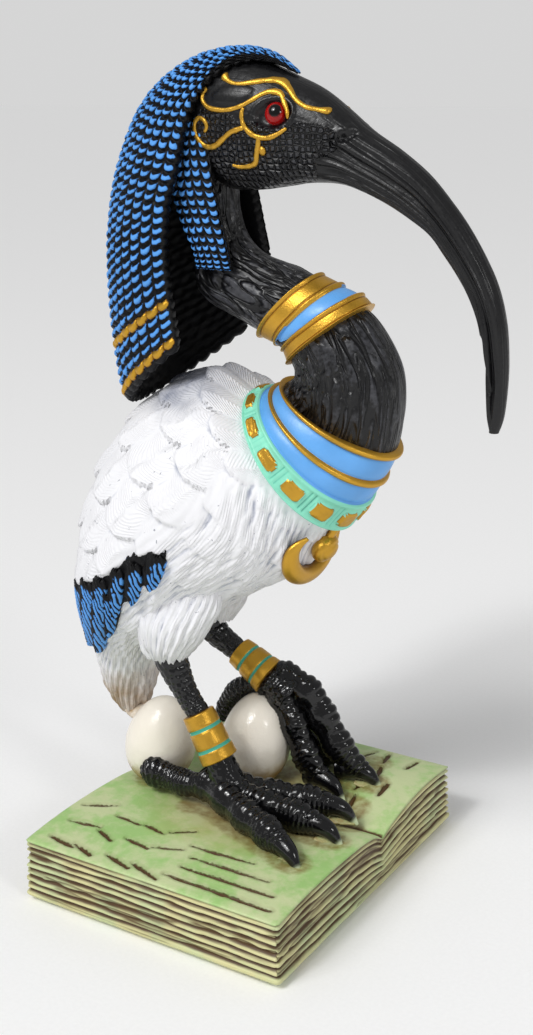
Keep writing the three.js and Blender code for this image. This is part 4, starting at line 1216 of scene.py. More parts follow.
def pendant_mesh(paints):
    """A thick crescent, horns up, with a domed disc over it and a stem up to the collar."""
    surface = form_of(BODY)
    ends = surface(np.zeros(2), np.array([PENDANT_T - 0.01, PENDANT_T + 0.01]))
    per_v = np.linalg.norm(ends[1] - ends[0]) / 0.02
    half = surface(np.array([0.25]), np.array([PENDANT_T]))[0, 1]

    def on_chest(down, across, lift, relief):
        points = raised(surface, across / half / (2 * np.pi), PENDANT_T + down / per_v, lift)
        return {"co": on_page(points), "relief": np.clip(relief, 0, 1)}

    def crescent(u, v):
        round_it = 2 * np.pi * u
        turn = np.radians(2 * CRESCENT_REACH * (v - 0.5))
        thick = 0.5 + 2 * np.cos(np.pi * (v - 0.5))
        radius = CRESCENT_RADIUS + np.cos(round_it) * thick
        lift = 0.5 + np.sin(round_it) * thick
        return on_chest(radius * np.cos(turn), 1.3 * radius * np.sin(turn), lift,
                        0.45 + 0.5 * np.sin(round_it))

    def disc(u, v):
        round_it = 2 * np.pi * u
        radius = 4.1 * np.sin(np.pi * v)
        lift = 1.0 - 3.0 * np.cos(np.pi * v) - 0.35 * bell(radius - 2.9, 0.3) * (v > 0.5)
        return on_chest(radius * np.cos(round_it) - 0.8, radius * np.sin(round_it), lift, 0.4 + 0.6 * v)

    def stem(u, v):
        round_it = 2 * np.pi * u
        thick = 1.3 - 0.2 * v
        return on_chest(-2.5 - 8.5 * v, np.cos(round_it) * thick * 1.2, 0.4 + np.sin(round_it) * thick,
                        0.5 + 0.5 * np.sin(round_it))

    parts = [wrapped("crescent", 32, 90, crescent), wrapped("disc", 40, 24, disc),
             wrapped("stem", 20, 16, stem)]
    return together("pendant", parts, paints)


# Neck

NECK = [
    [0, 182, -14, 180, 7], [-2.5, 168, -14, 165, 5.8], [-1.6, 158, -14.5, 150, 6.2],
    [2, 153, -13, 141, 7], [9, 149.8, -5, 136, 7.6], [16, 147.5, 3.5, 132, 8.2],
    [26, 144, 11, 128.6, 9], [36.5, 136.5, 15, 123.8, 10], [42.5, 127, 15.5, 121.5, 11],
    [44, 117, 14, 120.3, 11.3], [42.3, 106, 12.4, 119.8, 10.6], [38, 98, 10, 118.5, 10]]
NECK_BAND = [
    [20.4, 146.2, 5.2, 131.3, 8.6], [26.2, 144, 10.8, 129.5, 9.2], [31.7, 141.9, 13.1, 127.9, 9.8],
    [34.4, 139.5, 14.8, 124.3, 10.3]]


def flow_along(u, s, radius, wide, long):
    """Coordinates that stretch a pattern along a limb, so many millimetres wide and long."""
    turn = 2 * np.pi * u
    return np.stack([radius * np.cos(turn) / wide, radius * np.sin(turn) / wide, s / long], axis=-1)


def neck_mesh(paints):
    """The bent neck, its skin drawn into long wavy folds."""
    surface = form_of(NECK)
    length = run_along(surface, 0.25)

    def rule(u, v):
        s = length(v)
        radius = girth(surface, v) / (2 * np.pi)
        folds = rough(u * 18, s / 10, 110, 2, around=18)
        ends = step(0.0, 0.04, v) * (1 - step(0.96, 1.0, v))
        points = raised(surface, u, v, 1.3 * (folds - 0.5) * ends)
        return {"co": on_page(points), "relief": folds, "folds": np.ones_like(v),
                "beaded": np.zeros_like(v), "flow": flow_along(u, s, radius, 2.3, 10.0)}

    return wrapped("neck", 132, 220, rule, paints)


def neck_band_mesh(paints):
    """Gold ring, blue band, broad gold ring round the neck, their edges rolled."""
    surface = form_of(NECK_BAND)

    def rule(u, v):
        t = hand_laid(u, v, 0.01, 13, 63)
        height, relief = np.zeros_like(t), np.zeros_like(t)
        for low, high in ((0.0, 0.37), (0.63, 1.0)):
            part = (t - low) / (high - low)
            here = (part >= 0) & (part <= 1)
            rolls = bell(part - 0.1, 0.085) + bell(part - 0.9, 0.085)
            lines = bell(part - 0.24, 0.035) + bell(part - 0.76, 0.035)
            height = np.where(here, 0.75 + 0.5 * rolls - 0.25 * lines, height)
            relief = np.where(here, 0.8 + 0.2 * rolls - 0.6 * lines, relief)
        blue = np.clip(1 - ((t - 0.5) / 0.14) ** 2, 0, 1) ** 0.5
        in_blue = (t > 0.37) & (t < 0.63)
        height = np.where(in_blue, 0.4 * blue, height)
        relief = np.where(in_blue, 0.3 + 0.7 * blue, relief)
        end = step(0.0, 0.03, v) * (1 - step(0.97, 1.0, v))
        return {"co": on_page(raised(surface, u, v, mix(-1.5, height, end))), "relief": relief}

    def zone(u, v):
        t = hand_laid(u, v, 0.01, 13, 63)
        return np.where((t < 0.37) | (t > 0.63), 0, 1)

    return wrapped("neck_band", 108, 112, rule, paints, zone)


# Head

HEAD = [
    [-16, 186, -15, 178, 3], [-13, 193, -11, 170, 8], [-5, 197, -3, 166.5, 10.3],
    [5, 196.8, 5, 166.3, 10.6], [15.5, 193, 14, 167.5, 9.6], [22.5, 190, 20, 168.4, 8.2],
    [28.5, 186, 28, 168.3, 7.2], [35.5, 180.8, 34.5, 166.5, 6.4], [43.0, 176.4, 40.8, 163.8, 5.8],
    [50.2, 171.2, 46.1, 160.9, 5.3], [56.0, 165.2, 51.2, 157.5, 5], [60.8, 159.3, 54.9, 153.1, 4.7],
    [65.1, 152.5, 58.5, 148.4, 4.4], [68.3, 145.8, 61.6, 143.5, 4.2], [70.3, 138.4, 63.9, 137.6, 3.9],
    [71.1, 131.1, 64.9, 131, 3.5], [71.2, 124.5, 65.5, 124.5, 3], [70.6, 117, 66.1, 117, 2.3],
    [69.4, 112.9, 67.1, 112.9, 1.1]]
EYE_AT = (14.2, 184.3)
BILL_GROOVES = [
    (26, 0.3, 0.4, 0.7), (62, 0.7, 0.34, 0.9), (86, 1.3, 0.33, 0.96), (110, 1.2, 0.31, 0.84),
    (128, 1.1, 0.31, 0.8), (146, 0.7, 0.33, 0.72)]
MOUTH_ANGLE = 97


def bump_at(x, z, cx, cz, rx, rz, tilt=0.0):
    """1 in the middle of an ellipse on the head's side, 0 at and past its edge."""
    c, s = math.cos(math.radians(tilt)), math.sin(math.radians(tilt))
    along, across = (x - cx) * c + (z - cz) * s, -(x - cx) * s + (z - cz) * c
    return np.clip(1 - (along / rx) ** 2 - (across / rz) ** 2, 0, 1)


def head_mesh(paints):
    """Head and bill: smooth crown, beaded cheek, sockets for the eyes, long grooves down the bill."""
    surface = form_of(HEAD)
    length = run_along(surface, 0.0)

    def rule(u, v):
        flat = surface(u, v)
        x, z = flat[:, 0], flat[:, 2]
        s = length(v)
        side = from_top(u)
        half = np.maximum(smooth(np.array(HEAD)[:, 4], v), 0.5)
        on_side = step(22, 40, side)
        cheek = bump_at(x, z, 9.5, 174, 15, 8.6, -4)
        cheek = np.maximum(cheek, bump_at(x, z, 22, 178.3, 8.5, 4.2))
        cheek = np.maximum(cheek, bump_at(x, z, -2, 179, 8, 7))
        patch = bump_at(x, z, 3.2, 188.8, 5.6, 2.3, 6) ** 0.5 * on_side
        socket = bump_at(x, z, EYE_AT[0] - 0.2, EYE_AT[1] + 0.2, 5.4, 3.9, 10)
        lid = bell(np.sqrt(np.clip(1 - socket, 0, 4)) - 0.93, 0.09) * (socket > 0) * on_side
        height = 0.6 * patch
        height = height - 1.5 * step(0.15, 0.75, socket) * on_side + 0.45 * lid
        relief = 0.45 + 0.2 * patch + 0.3 * lid - 0.5 * step(0.15, 0.8, socket) * on_side
        for angle, depth, first, last in BILL_GROOVES:
            wander = 2.5 * (grain(s / 22, angle, 130) - 0.5)
            gap = (side - angle - wander) / 180 * np.pi * half
            here = step(first - 0.03, first + 0.03, v) * (1 - step(last - 0.1, last, v))
            cut = bell(gap, 0.7) * here
            height = height - depth * cut
            relief = relief - 0.35 * cut
        mouth = (side - MOUTH_ANGLE) / 180 * np.pi * half
        slit = bell(mouth, 0.45) * step(0.3, 0.36, v) * (1 - step(0.93, 0.97, v))
        height = height - 0.8 * slit
        relief = relief - 0.4 * slit
        nostril = bump_at(x, z, 31, 179.2, 5.2, 1.1, 24) * on_side
        height = height - 0.9 * nostril
        height = height + 0.35 * bump_at(x, z, 30.5, 180.9, 6, 1.2, 24) * on_side
        inner = step(120, 150, side)
        ends_at = step(134.6, 136, z)
        height = height - 0.8 * inner * (1 - ends_at) * step(0.5, 0.6, v)
        fall = np.clip((135.5 - z) / 12.5, 0, 1)
        gap = (side - mix(152, 108, fall)) / 180 * np.pi * half
        slot = bell(gap, 0.45) * (z < 135.5) * (z > 122.5) * (v > 0.5)
        height = height - 0.8 * slot
        relief = relief - 0.4 * slot
        height = height * step(0.0, 0.05, v) * (1 - step(0.96, 1.0, v))
        on_bill = step(0.3, 0.42, v)
        beaded = step(0.0, 0.12, cheek) * on_side * (1 - step(0.1, 0.5, socket)) * (1 - patch)
        return {"co": on_page(raised(surface, u, v, height)), "relief": np.clip(relief, 0, 1),
                "beaded": beaded, "folds": (0.05 + 0.09 * on_bill) * (1 - beaded),
                "flow": flow_along(u, s, girth(surface, v) / (2 * np.pi), 2.0, 50.0)}

    return wrapped("head", 144, 352, rule, paints)


GOLD_LINES = {
    "brow": ([(-0.4, 193.3), (1.5, 191.9), (4.4, 191.2), (8, 191.6), (11.6, 192.0), (14.4, 191.6),
              (16.8, 189.9), (19.1, 187.6), (21.6, 186.1), (24.2, 185.5), (27.3, 185.0)],
             [1.15, 0.6, 0.55, 0.62, 0.7, 0.75, 0.7, 0.6, 0.55, 0.6, 0.85]),
    "eyeline": ([(-4.3, 190.3), (-5.3, 189.4), (-5.2, 187.6), (-3.2, 186.0), (0, 185.4), (3.0, 185.5),
                 (6.0, 186.3), (8.6, 187.6), (10.8, 188.9), (12.9, 189.5), (15.2, 188.9), (16.6, 187.0),
                 (17.6, 185.2), (18.0, 183.4)],
                [0.75, 0.7, 0.65, 0.6, 0.6, 0.6, 0.6, 0.62, 0.65, 0.7, 0.7, 0.65, 0.55, 0.35]),
    "cheek": ([(6.7, 186.0), (6.4, 184.4), (6.9, 182.3), (8.6, 180.3), (10.8, 179.3), (13.4, 179.2),
               (15.8, 180.1), (17.9, 181.4)],
              [0.5, 0.6, 0.62, 0.7, 0.75, 0.7, 0.62, 0.5]),
    "spiral": ([(7.2, 181.5), (5.4, 181.0), (3.2, 180.2), (0.7, 178.4), (-1.4, 177.1), (-3.6, 176.8),
                (-5.7, 177.7), (-7.3, 179.8), (-7.4, 182.2), (-6.0, 183.5), (-4.3, 183.0), (-3.5, 181.5),
                (-4.4, 180.2)],
               [0.6, 0.7, 0.75, 0.75, 0.75, 0.75, 0.72, 0.7, 0.66, 0.62, 0.6, 0.55, 0.5]),
    "drop": ([(10.8, 179.3), (10.6, 177.6), (9.9, 175.4), (8.9, 173.2), (6.6, 172.4), (4.2, 172.3),
              (2.5, 172.7)],
             [0.55, 0.75, 0.8, 0.75, 0.6, 0.5, 0.4]),
    "drop_ball": ([(11.3, 177.2), (11.5, 176.2), (11.3, 175.2)], [0.5, 1.05, 0.5])}


def gold_line_mesh(line, widths, side):
    """A raised line laid on the side of the head, as thick as the brush left it."""
    surface = form_of(HEAD)
    line_x, line_z = np.array(line).T

    def rule(u, v):
        x, z = smooth(line_x, v), smooth(line_z, v)
        dx, dz = heading(line_x, line_z, v, 0.01)
        ends = np.clip(np.minimum(v, 1 - v) / 0.03, 0, 1) ** 0.5
        uneven = 0.78 + 0.22 * grain(v * 2.2 * len(line), 0, len(line))
        thick = smooth(np.array(widths), v) * (0.12 + 0.88 * ends) * uneven
        across = np.cos(2 * np.pi * u) * thick
        place_u, place_v = place_on_side(HEAD, x - dz * across, z + dx * across)
        lift = 0.05 + np.sin(2 * np.pi * u) * thick * 0.75
        points = raised(surface, place_u, place_v, lift)
        points[:, 1] *= side
        return {"co": on_page(points), "relief": np.clip(0.55 + 0.5 * np.sin(2 * np.pi * u), 0, 1)}

    return wrapped("gold_line", 12, 8 * len(line), rule)


def eye_mesh(side, paints):
    """One eye: a glossy ball with its pupil looking up and out."""
    surface = form_of(HEAD)
    u0, v0 = place_on_side(HEAD, np.array([EYE_AT[0]]), np.array([EYE_AT[1]]))
    seat = surface(u0, v0)[0] - np.array([0, 2.0, -0.1])
    look = np.array([0.34, 0.88, 0.4])
    look /= np.linalg.norm(look)

    def rule(u, v):
        angle = np.pi * v
        ball = np.stack([np.sin(angle) * np.cos(2 * np.pi * u), np.sin(angle) * np.sin(2 * np.pi * u),
                         -np.cos(angle)], axis=-1)
        pupil = step(0.80, 0.86, ball @ look)
        points = seat + ball * 2.8
        points[:, 1] *= side
        return {"co": on_page(points), "pupil": pupil}

    return wrapped("eye", 48, 32, rule, paints)


# Wig

WIG_MIDDLE = [
    [16.5, 193.8], [9, 198.4], [0, 200], [-10, 198.6], [-20, 194], [-28.5, 186.5], [-34.5, 176],
    [-38.5, 164], [-40.3, 151], [-40.5, 138], [-39.5, 124], [-37, 109]]
WIG_EDGE = [
    [16, 0.8, 193.2], [9, 3.5, 196.3], [2, 6.5, 195.5], [-3.5, 10, 191.5], [-7, 12.8, 185.5],
    [-8.8, 14.3, 179], [-10, 15.5, 172], [-11.8, 16.6, 165], [-12.6, 17.3, 157],
    [-12.4, 17.6, 149], [-11.3, 17.6, 140], [-9.6, 17.6, 128.5]]
WIG_COLUMNS = 11
BEAD_PITCH = 2.6
GOLD_BAND = 0.9
HEM = 0.988
WIG_THICKNESS = 4.0


def wig_skin(a, v):
    """The wig's outer skin: a from edge to edge in -1 to 1, v from forehead to hem."""
    middle = [smooth(np.array([p[k] for p in WIG_MIDDLE]), v) for k in (0, 1)]
    edge = [smooth(np.array([p[k] for p in WIG_EDGE]), v) for k in (0, 1, 2)]
    turn = a * np.pi / 2
    return np.stack([
        edge[0] + (middle[0] - edge[0]) * np.cos(turn), edge[1] * np.sin(turn),
        edge[2] + (middle[1] - edge[2]) * np.cos(turn)], axis=-1)


def bead(column, row, seed):
    """One saddle-shaped bead for each column and row: its height, its paint and the row it lies in."""
    q = column - np.floor(column) - 0.5
    index = np.floor(column)
    place = row + 0.3 * (2 * q) ** 2 + 0.2 * (scatter(index, 0, seed) - 0.5)
    part = place - np.floor(place)
    body = np.clip(1 - np.abs(2 * q) ** 3.5, 0, 1)
    rise = step(0.0, 0.24, part) * (1 - step(0.72, 0.98, part))
    odd = scatter(index, np.floor(place), seed)
    height = body * rise * (0.65 + 0.35 * np.sin(np.pi * part) - 0.15 * odd)
    # The paint sits a little off each bead's middle, so one flank stays black: unpainted resin, and painted
    # shade on the flank turned from the light.
    sides = (0.43 - 0.13 * part - np.abs(q + 0.03 + 0.08 * (odd - 0.5))) / 0.1
    top = (part - 0.24 - 0.08 * odd + 0.16 * (2 * q) ** 2) / 0.12
    foot = (0.84 - 0.1 * (2 * q) ** 2 - 0.2 * scatter(np.floor(place), index, seed + 1) - part) / 0.12
    paint = np.clip(0.42 + 0.3 * np.minimum(np.minimum(sides, top), foot), 0, 1)
    return height, paint, np.floor(place)


def bead_rows(a, v):
    """Columns counted from the wig's edge, rows counted down from the upper gold band, and the last row."""
    column = WIG_COLUMNS * (1 - np.abs(a))
    index = np.clip(np.floor(column), 0, WIG_COLUMNS - 1)
    row, last = np.zeros_like(v), np.zeros_like(v)
    for k in range(WIG_COLUMNS):
        length = run_along(wig_skin, 1 - (k + 0.5) / WIG_COLUMNS)
        band, hem = length(GOLD_BAND), length(HEM)
        count = max(3, round((hem - band) / BEAD_PITCH))
        pitch = np.where(v < GOLD_BAND, BEAD_PITCH, (hem - band) / count)
        here = index == k
        row = np.where(here, (length(v) - band) / pitch, row)
        last = np.where(here, count - 1, last)
    return column, row, last


def wig_mesh(side, sizes, paints):
    """Half of the headdress: beaded locks outside, turned in at hem and edge, and the smooth inside."""
    relief_mm = sizes.bead_relief / MM
    share = 0.8

    def lay(u):
        outside = u <= share
        return outside, side * np.clip(np.where(outside, u / share, (1 - u) / (1 - share)), 0, 1)

    def rule(u, v):
        outside, a = lay(u)
        full = np.clip(wig_skin(np.ones_like(v), v)[:, 1] / (1.6 * WIG_THICKNESS), 0, 1)
        low, high = np.clip(v - 0.004, 0, 1), np.clip(v + 0.004, 0, 1)
        down = wig_skin(a, high) - wig_skin(a, low)
        across = wig_skin(a + 0.004, v) - wig_skin(a - 0.004, v)
        outward = unit(np.cross(across, down))
        column, row, last = bead_rows(a, v)
        height, paint, at = bead(column, row, 7)
        crown = 5.2 - 5.1 * step(0.06, 0.36, v)
        paint = paint * step(crown - 0.9, crown + 0.1, column + 1.2 * (rough(column * 2, row, 5) - 0.5))
        paint = np.where((at == 0) | (at == last), np.clip(0.4 + 0.7 * height, 0, 1), paint)
        hem = step(HEM - 0.004, HEM + 0.002, v)
        height = mix(height, 0.45 * rough(a * 14, v * 60, 9), hem)
        rim = 1 - step(0.0, 0.25, column)
        height = mix(height, 0.6 * pebbles(column * 1.4, row * 1.9, 3), rim)
        lumps = pebbles(column * 0.9, row * 1.1, 5)
        depth = np.where(outside, (1 - height) * relief_mm - 0.25, WIG_THICKNESS - 0.7 * lumps)
        closing = np.clip(np.minimum(v, 1 - v) / 0.012, 0, 1) ** 0.5
        edge = np.clip((1 - np.abs(a)) / 0.03, 0, 1) ** 0.6
        depth = mix(np.where(outside, 1.2, WIG_THICKNESS - 1.2), depth, edge)
        depth = mix(WIG_THICKNESS / 2, depth, closing * np.clip(np.minimum(u, 1 - u) / 0.003, 0, 1))
        points = wig_skin(a, v) - outward * (depth * full)[:, None]
        bulges = 0.9 * (np.abs(np.sin(np.pi * row)) - 0.75) * step(0.93, 1.0, np.abs(a)) * full
        hanging = 0.9 * (np.abs(np.sin(np.pi * column)) - 0.75) * step(0.975, 1.0, v)
        points = points + unit(side * across) * bulges[:, None] + unit(down) * hanging[:, None]
        return {"co": on_page(points), "relief": paint * outside * (1 - hem) * (1 - rim)}

    def zone(u, v):
        outside, a = lay(u)
        column, row, last = bead_rows(a, v)
        _height, _paint, at = bead(column, row, 7)
        return np.where(outside & ((at == 0) | (at == last)) & (v < HEM), 1, 0)

    return wrapped("wig", 172, 264, rule, paints, zone)


LAPPET = [
    [-9, 184, 3.6, 8], [-9.6, 177, 5, 9], [-9, 168, 6.4, 9.3], [-7, 160, 6.2, 9.3], [-4.2, 152, 5.2, 9.2],
    [-3.2, 147.5, 5.2, 9]]


def lappet_mesh(side, paints):
    """The narrow flap of locks in front of one shoulder."""
    table = np.array(LAPPET, dtype=float)

    def rule(u, v):
        x, z, half, y = (smooth(table[:, k], v) for k in range(4))
        outside = u <= 0.6
        a = np.where(outside, 1 - 2 * u / 0.6, -1 + 2 * (u - 0.6) / 0.4)
        height, paint, _row = bead((a + 1) * 2.5, v * 18.5, 12)
        out = np.where(outside, 1.9 - (1 - height) * 1.1 - 1.2 * a * a, -1.8)
        closing = np.clip(np.minimum(v, 1 - v) / 0.03, 0, 1) ** 0.5
        out = out * closing
        edge = np.clip((1 - np.abs(a)) / 0.08, 0, 1) ** 0.5
        out = mix(np.where(outside, 0.4, -0.4), out, edge)
        half = half + 0.7 * (np.abs(np.sin(np.pi * v * 18.5)) - 0.7)
        points = np.stack([x + half * a, side * (y + out), z], axis=-1)
        return {"co": on_page(points), "relief": paint * outside}

    return wrapped("lappet", 84, 104, rule, paints)


# Webs of resin

TAIL_WEB = [[-30.5, 19.5, 2.6, 5.2], [-34.5, 17.4, 2.9, 5.8], [-39, 17.6, 2.6, 5.0], [-43, 19.5, 1.6, 3.4]]
CLAW_WEB = [[1.5, 0.9, 0.8, 2.0], [4, 0.8, 0.8, 2.4], [6.6, 0.4, 0.6, 1.8], [8.4, 0.1, 0.3, 0.8]]


def web_mesh(stations, **place):
    """A lump of resin left where a part meets the page or an egg."""
    surface = limb_form(stations)

    def rule(u, v):
        height = 0.7 * (rough(u * 7, v * 6, 77, around=7) - 0.5)
        points = raised(surface, u, v, height)
        points[:, 2] = np.maximum(points[:, 2], -0.3)
        relief = np.clip(0.2 + 0.5 * rough(u * 9, v * 9, 78, around=9), 0, 1)
        return {"co": on_page(points, **place), "relief": relief}

    return wrapped("web", 28, 24, rule)


# Stage

EYE_POINT = (198.4, -302.4, 214.3)
AZIMUTH = 32.22
ELEVATION = 17.45
ROLL = -0.78
FOCAL = 50.52
SUN_PLACE = (-0.25, -0.85, 0.92)
LIGHT_AIM = (0.0, 0.0, 0.11)
ROOM_LIGHT = 0.38
ROOM_SEEN = 0.668


def light_at(name, kind, power, place, aim, **settings):
    """A light at a place in metres, turned to a point."""
    light = bpy.data.lights.new(name, kind)
    light.energy = power
    for key, value in settings.items():
        setattr(light, key, value)
    lit = bpy.data.objects.new(name, light)
    turned = (Vector(place) - Vector(aim)).to_track_quat("Z", "Y").to_matrix().to_4x4()
    lit.matrix_world = Matrix.Translation(place) @ turned
    bpy.context.scene.collection.objects.link(lit)


def floor_card():
    """White matte card: a faint tooth 1 mm across keeps it from a dead flat white."""
    material, tree, place = new_finish("white_matte_card")
    tooth = add(tree, "TexNoise", {
        "Vector": place, "Scale": 1 / (1.0 * MM), "Detail": 2.0, "Roughness": 0.55})
    colour = add(tree, "Mix", {0: tooth, 6: linear("#F4F4F4"), 7: linear("#FCFCFC")}, **COLOUR_MIX)
    close_finish(tree, colour, 0.9, more={"IOR": 1.4})
    return material


def studio_floor():
    """A wide floor of white card."""
    bm = bmesh.new()
    bmesh.ops.create_grid(bm, x_segments=1, y_segments=1, size=6.0)
    floor = bpy.data.objects.new("studio_floor", mesh_from(bm, "studio_floor", [floor_card()]))
    bpy.context.scene.collection.objects.link(floor)


def white_room():
    """Soft even light from all round, behind the object a shade lighter than it lights."""
    world = bpy.data.worlds.new("soft_white_room")
    world.use_nodes = True
    tree = world.node_tree
    tree.nodes.clear()
    white = linear("#FFFFFF")
    lights = add(tree, "Background", {"Color": white, "Strength": ROOM_LIGHT})
    shows = add(tree, "Background", {"Color": white, "Strength": ROOM_SEEN})
    seen = add(tree, "LightPath", out="Is Camera Ray")
    both = add(tree, "MixShader", {0: seen, 1: lights, 2: shows})
    add(tree, "OutputWorld", {"Surface": both})
    bpy.context.scene.world = world


def photo_camera():
    """The camera, level with the figure's head and turned down to it."""
    data = bpy.data.cameras.new("photo_view")
    data.sensor_fit = "AUTO"
    data.sensor_width = 36.0
    data.lens = FOCAL
    data.clip_start = 0.01
    data.clip_end = 20.0
    camera = bpy.data.objects.new("photo_view", data)
    angles = ((AZIMUTH, "Z"), (90 - ELEVATION, "X"), (ROLL, "Z"))
    swing, pitch, roll = (Matrix.Rotation(math.radians(angle), 4, axis) for angle, axis in angles)
    place = Vector(EYE_POINT) * MM + Vector((BOOK_MIDDLE.x, 0, 0))
    camera.matrix_world = Matrix.Translation(place) @ (swing @ pitch @ roll)
    bpy.context.scene.collection.objects.link(camera)
    bpy.context.scene.camera = camera


# Operators

def sizes_and_colours(context):
    """The values that the user sets in the panel."""
    return context.scene.ibis_sizes, context.scene.ibis_colours


class IBIS_OT_book(bpy.types.Operator):
    """Make the open book."""

    bl_idname = "ibis.book"
    bl_label = "Open book"

    def execute(self, context):
        sizes, colours = sizes_and_colours(context)
        mesh = book_mesh(sizes, [page_paint(colours), leaf_edge_paint(colours)])
        piece("open_book", mesh)
        return {"FINISHED"}


class IBIS_OT_eggs(bpy.types.Operator):
    """Make the two eggs that lie on the page."""

    bl_idname = "ibis.eggs"
    bl_label = "Eggs"

    def execute(self, context):
        _sizes, colours = sizes_and_colours(context)
        paints = [egg_paint(colours)]
        for name, place in (("egg_back", BACK_EGG), ("egg_far", FAR_EGG)):
            piece(name, egg_mesh(name, place, paints))
        return {"FINISHED"}


class IBIS_OT_legs(bpy.types.Operator):
    """Make the shanks, anklets, toes, claws and the resin that holds them."""

    bl_idname = "ibis.legs"
    bl_label = "Legs and feet"

    def execute(self, context):
        sizes, colours = sizes_and_colours(context)
        black = [gloss_resin(colours)]
        gold = [gold_paint(colours), anklet_green(colours)]
        feet = (("near", NEAR_FOOT), ("far", FAR_FOOT))
        for side, foot in feet:
            limbs, webs = foot_meshes(foot, sizes)
            piece(f"foot_{side}", together("foot", limbs, black))
            piece(f"claw_webs_{side}", together("webs", webs, [prop_paint(colours)]))
        for side, foot in feet:
            piece(f"shank_{side}", shank_mesh(foot, black))
            piece(f"anklet_{side}", anklet_mesh(foot, gold))
        return {"FINISHED"}


class IBIS_OT_plumage(bpy.types.Operator):
    """Make the feathered body, the thighs and the resin under the tail."""

    bl_idname = "ibis.plumage"
    bl_label = "Plumage"

    def execute(self, context):
        sizes, colours = sizes_and_colours(context)
        paints = [plumage_paint(colours)]
        piece("plumage", plumage_mesh(sizes, paints))
        piece("thigh_near", thigh_mesh("thigh_near", NEAR_THIGH, NEAR_FOOT["y"], paints))
        piece("thigh_far", thigh_mesh("thigh_far", FAR_THIGH, FAR_FOOT["y"], paints))
        piece("tail_web", together("tail_web", [web_mesh(TAIL_WEB)], [egg_paint(colours)]))
        return {"FINISHED"}


class IBIS_OT_wing_tips(bpy.types.Operator):
    """Make the dark primaries on both sides."""

    bl_idname = "ibis.wing_tips"
    bl_label = "Wing tips"

    def execute(self, context):
        _sizes, colours = sizes_and_colours(context)
        paints = [blue_paint(colours)]
        for name, side in SIDES:
            meshes = [wing_root_mesh(side)]
            meshes += [wing_tip_mesh(side, index, quill) for index, quill in enumerate(QUILLS)]
            piece(f"wing_tip_{name}", together("wing_tip", meshes, paints))
        return {"FINISHED"}


class IBIS_OT_collar(bpy.types.Operator):
    """Make the broad collar and its pendant."""

    bl_idname = "ibis.collar"
    bl_label = "Collar and pendant"

    def execute(self, context):
        _sizes, colours = sizes_and_colours(context)
        gold = gold_paint(colours)
        piece("collar", collar_mesh([gold, band_blue(), turquoise_paint(colours)]))
        piece("pendant", pendant_mesh([gold]))
        return {"FINISHED"}


class IBIS_OT_neck(bpy.types.Operator):
    """Make the bent neck and the band round it."""

    bl_idname = "ibis.neck"
    bl_label = "Neck and band"

    def execute(self, context):
        _sizes, colours = sizes_and_colours(context)
        gold = gold_paint(colours)
        piece("neck", neck_mesh([matte_resin(colours)]))
        piece("neck_band", neck_band_mesh([gold, band_blue()]))
        return {"FINISHED"}


class IBIS_OT_head(bpy.types.Operator):
    """Make the head with its bill, the painted lines and the eyes."""

    bl_idname = "ibis.head"
    bl_label = "Head"

    def execute(self, context):
        _sizes, colours = sizes_and_colours(context)
        piece("head", head_mesh([matte_resin(colours)]))
        for name, side in SIDES:
            lines = [gold_line_mesh(line, widths, side) for line, widths in GOLD_LINES.values()]
            piece(f"eye_lines_{name}", together("eye_lines", lines, [gold_paint(colours)]))
            piece(f"eye_{name}", eye_mesh(side, [eye_paint(colours)]))
        return {"FINISHED"}


class IBIS_OT_wig(bpy.types.Operator):
    """Make the beaded headdress and its front flaps."""

    bl_idname = "ibis.wig"
    bl_label = "Headdress"

    def execute(self, context):
        sizes, colours = sizes_and_colours(context)
        blue = blue_paint(colours)
        paints = [blue, gold_over_black(colours)]
        for name, side in SIDES:
            piece(f"wig_{name}", wig_mesh(side, sizes, paints))
        for name, side in SIDES:
            piece(f"lappet_{name}", lappet_mesh(side, [blue]))
        return {"FINISHED"}


class IBIS_OT_pads(bpy.types.Operator):
    """Give the pads under the book their rubber."""

    bl_idname = "ibis.pads"
    bl_label = "Rubber pads"

    def execute(self, context):
        rubber = pad_rubber()
        for name in PADS:
            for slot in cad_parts[name].material_slots:
                slot.material = rubber
        return {"FINISHED"}


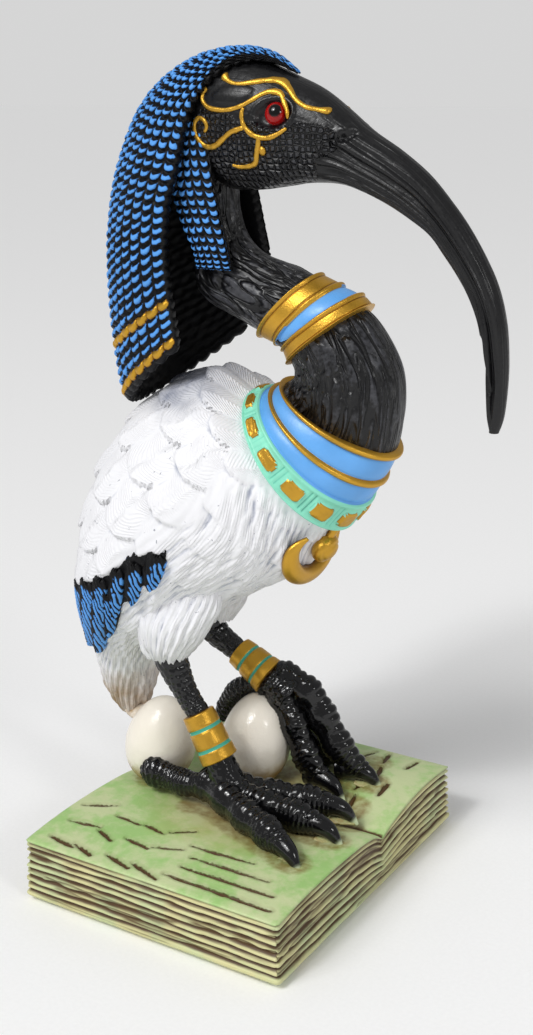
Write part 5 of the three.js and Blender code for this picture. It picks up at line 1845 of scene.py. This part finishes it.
class IBIS_OT_stage(bpy.types.Operator):
    """Make the pale floor, the soft lights and the camera."""

    bl_idname = "ibis.stage"
    bl_label = "Stage"

    def execute(self, context):
        context.scene.view_settings.view_transform = "Standard"
        studio_floor()
        white_room()
        light_at("overhead_soft_sun", "SUN", 1.5, SUN_PLACE, (0.0, 0.0, 0.0), angle=math.radians(32))
        light_at("key_softbox", "AREA", 3.4, (-0.15, -0.85, 1.0), LIGHT_AIM, shape="SQUARE", size=0.15)
        light_at("right_softbox", "AREA", 2.0, (0.95, -0.35, 0.6), LIGHT_AIM, shape="SQUARE", size=0.2)
        photo_camera()
        return {"FINISHED"}


class IBIS_PT_pieces(bpy.types.Panel):
    """Sizes, colours and the steps that build the figure."""

    bl_label = "Ibis"
    bl_space_type = "VIEW_3D"
    bl_region_type = "UI"
    bl_category = "Ibis"

    def draw(self, context):
        layout = self.layout
        for settings in sizes_and_colours(context):
            box = layout.box()
            for key in settings.__annotations__:
                box.prop(settings, key)
        for operator in OPERATORS:
            layout.operator(operator.bl_idname)


OPERATORS = (
    IBIS_OT_stage, IBIS_OT_book, IBIS_OT_eggs, IBIS_OT_legs, IBIS_OT_plumage, IBIS_OT_wing_tips,
    IBIS_OT_collar, IBIS_OT_neck, IBIS_OT_head, IBIS_OT_wig, IBIS_OT_pads)
CLASSES = (IbisSizes, IbisColours, *OPERATORS, IBIS_PT_pieces)


def register():
    for cls in CLASSES:
        bpy.utils.register_class(cls)
    bpy.types.Scene.ibis_sizes = bpy.props.PointerProperty(type=IbisSizes)
    bpy.types.Scene.ibis_colours = bpy.props.PointerProperty(type=IbisColours)


def unregister():
    del bpy.types.Scene.ibis_colours
    del bpy.types.Scene.ibis_sizes
    for cls in reversed(CLASSES):
        bpy.utils.unregister_class(cls)


def main():
    register()
    bpy.ops.ibis.stage()
    bpy.ops.ibis.book()
    bpy.ops.ibis.eggs()
    bpy.ops.ibis.legs()
    bpy.ops.ibis.plumage()
    bpy.ops.ibis.wing_tips()
    bpy.ops.ibis.collar()
    bpy.ops.ibis.neck()
    bpy.ops.ibis.head()
    bpy.ops.ibis.wig()
    bpy.ops.ibis.pads()


if __name__ == "__main__":
    main()
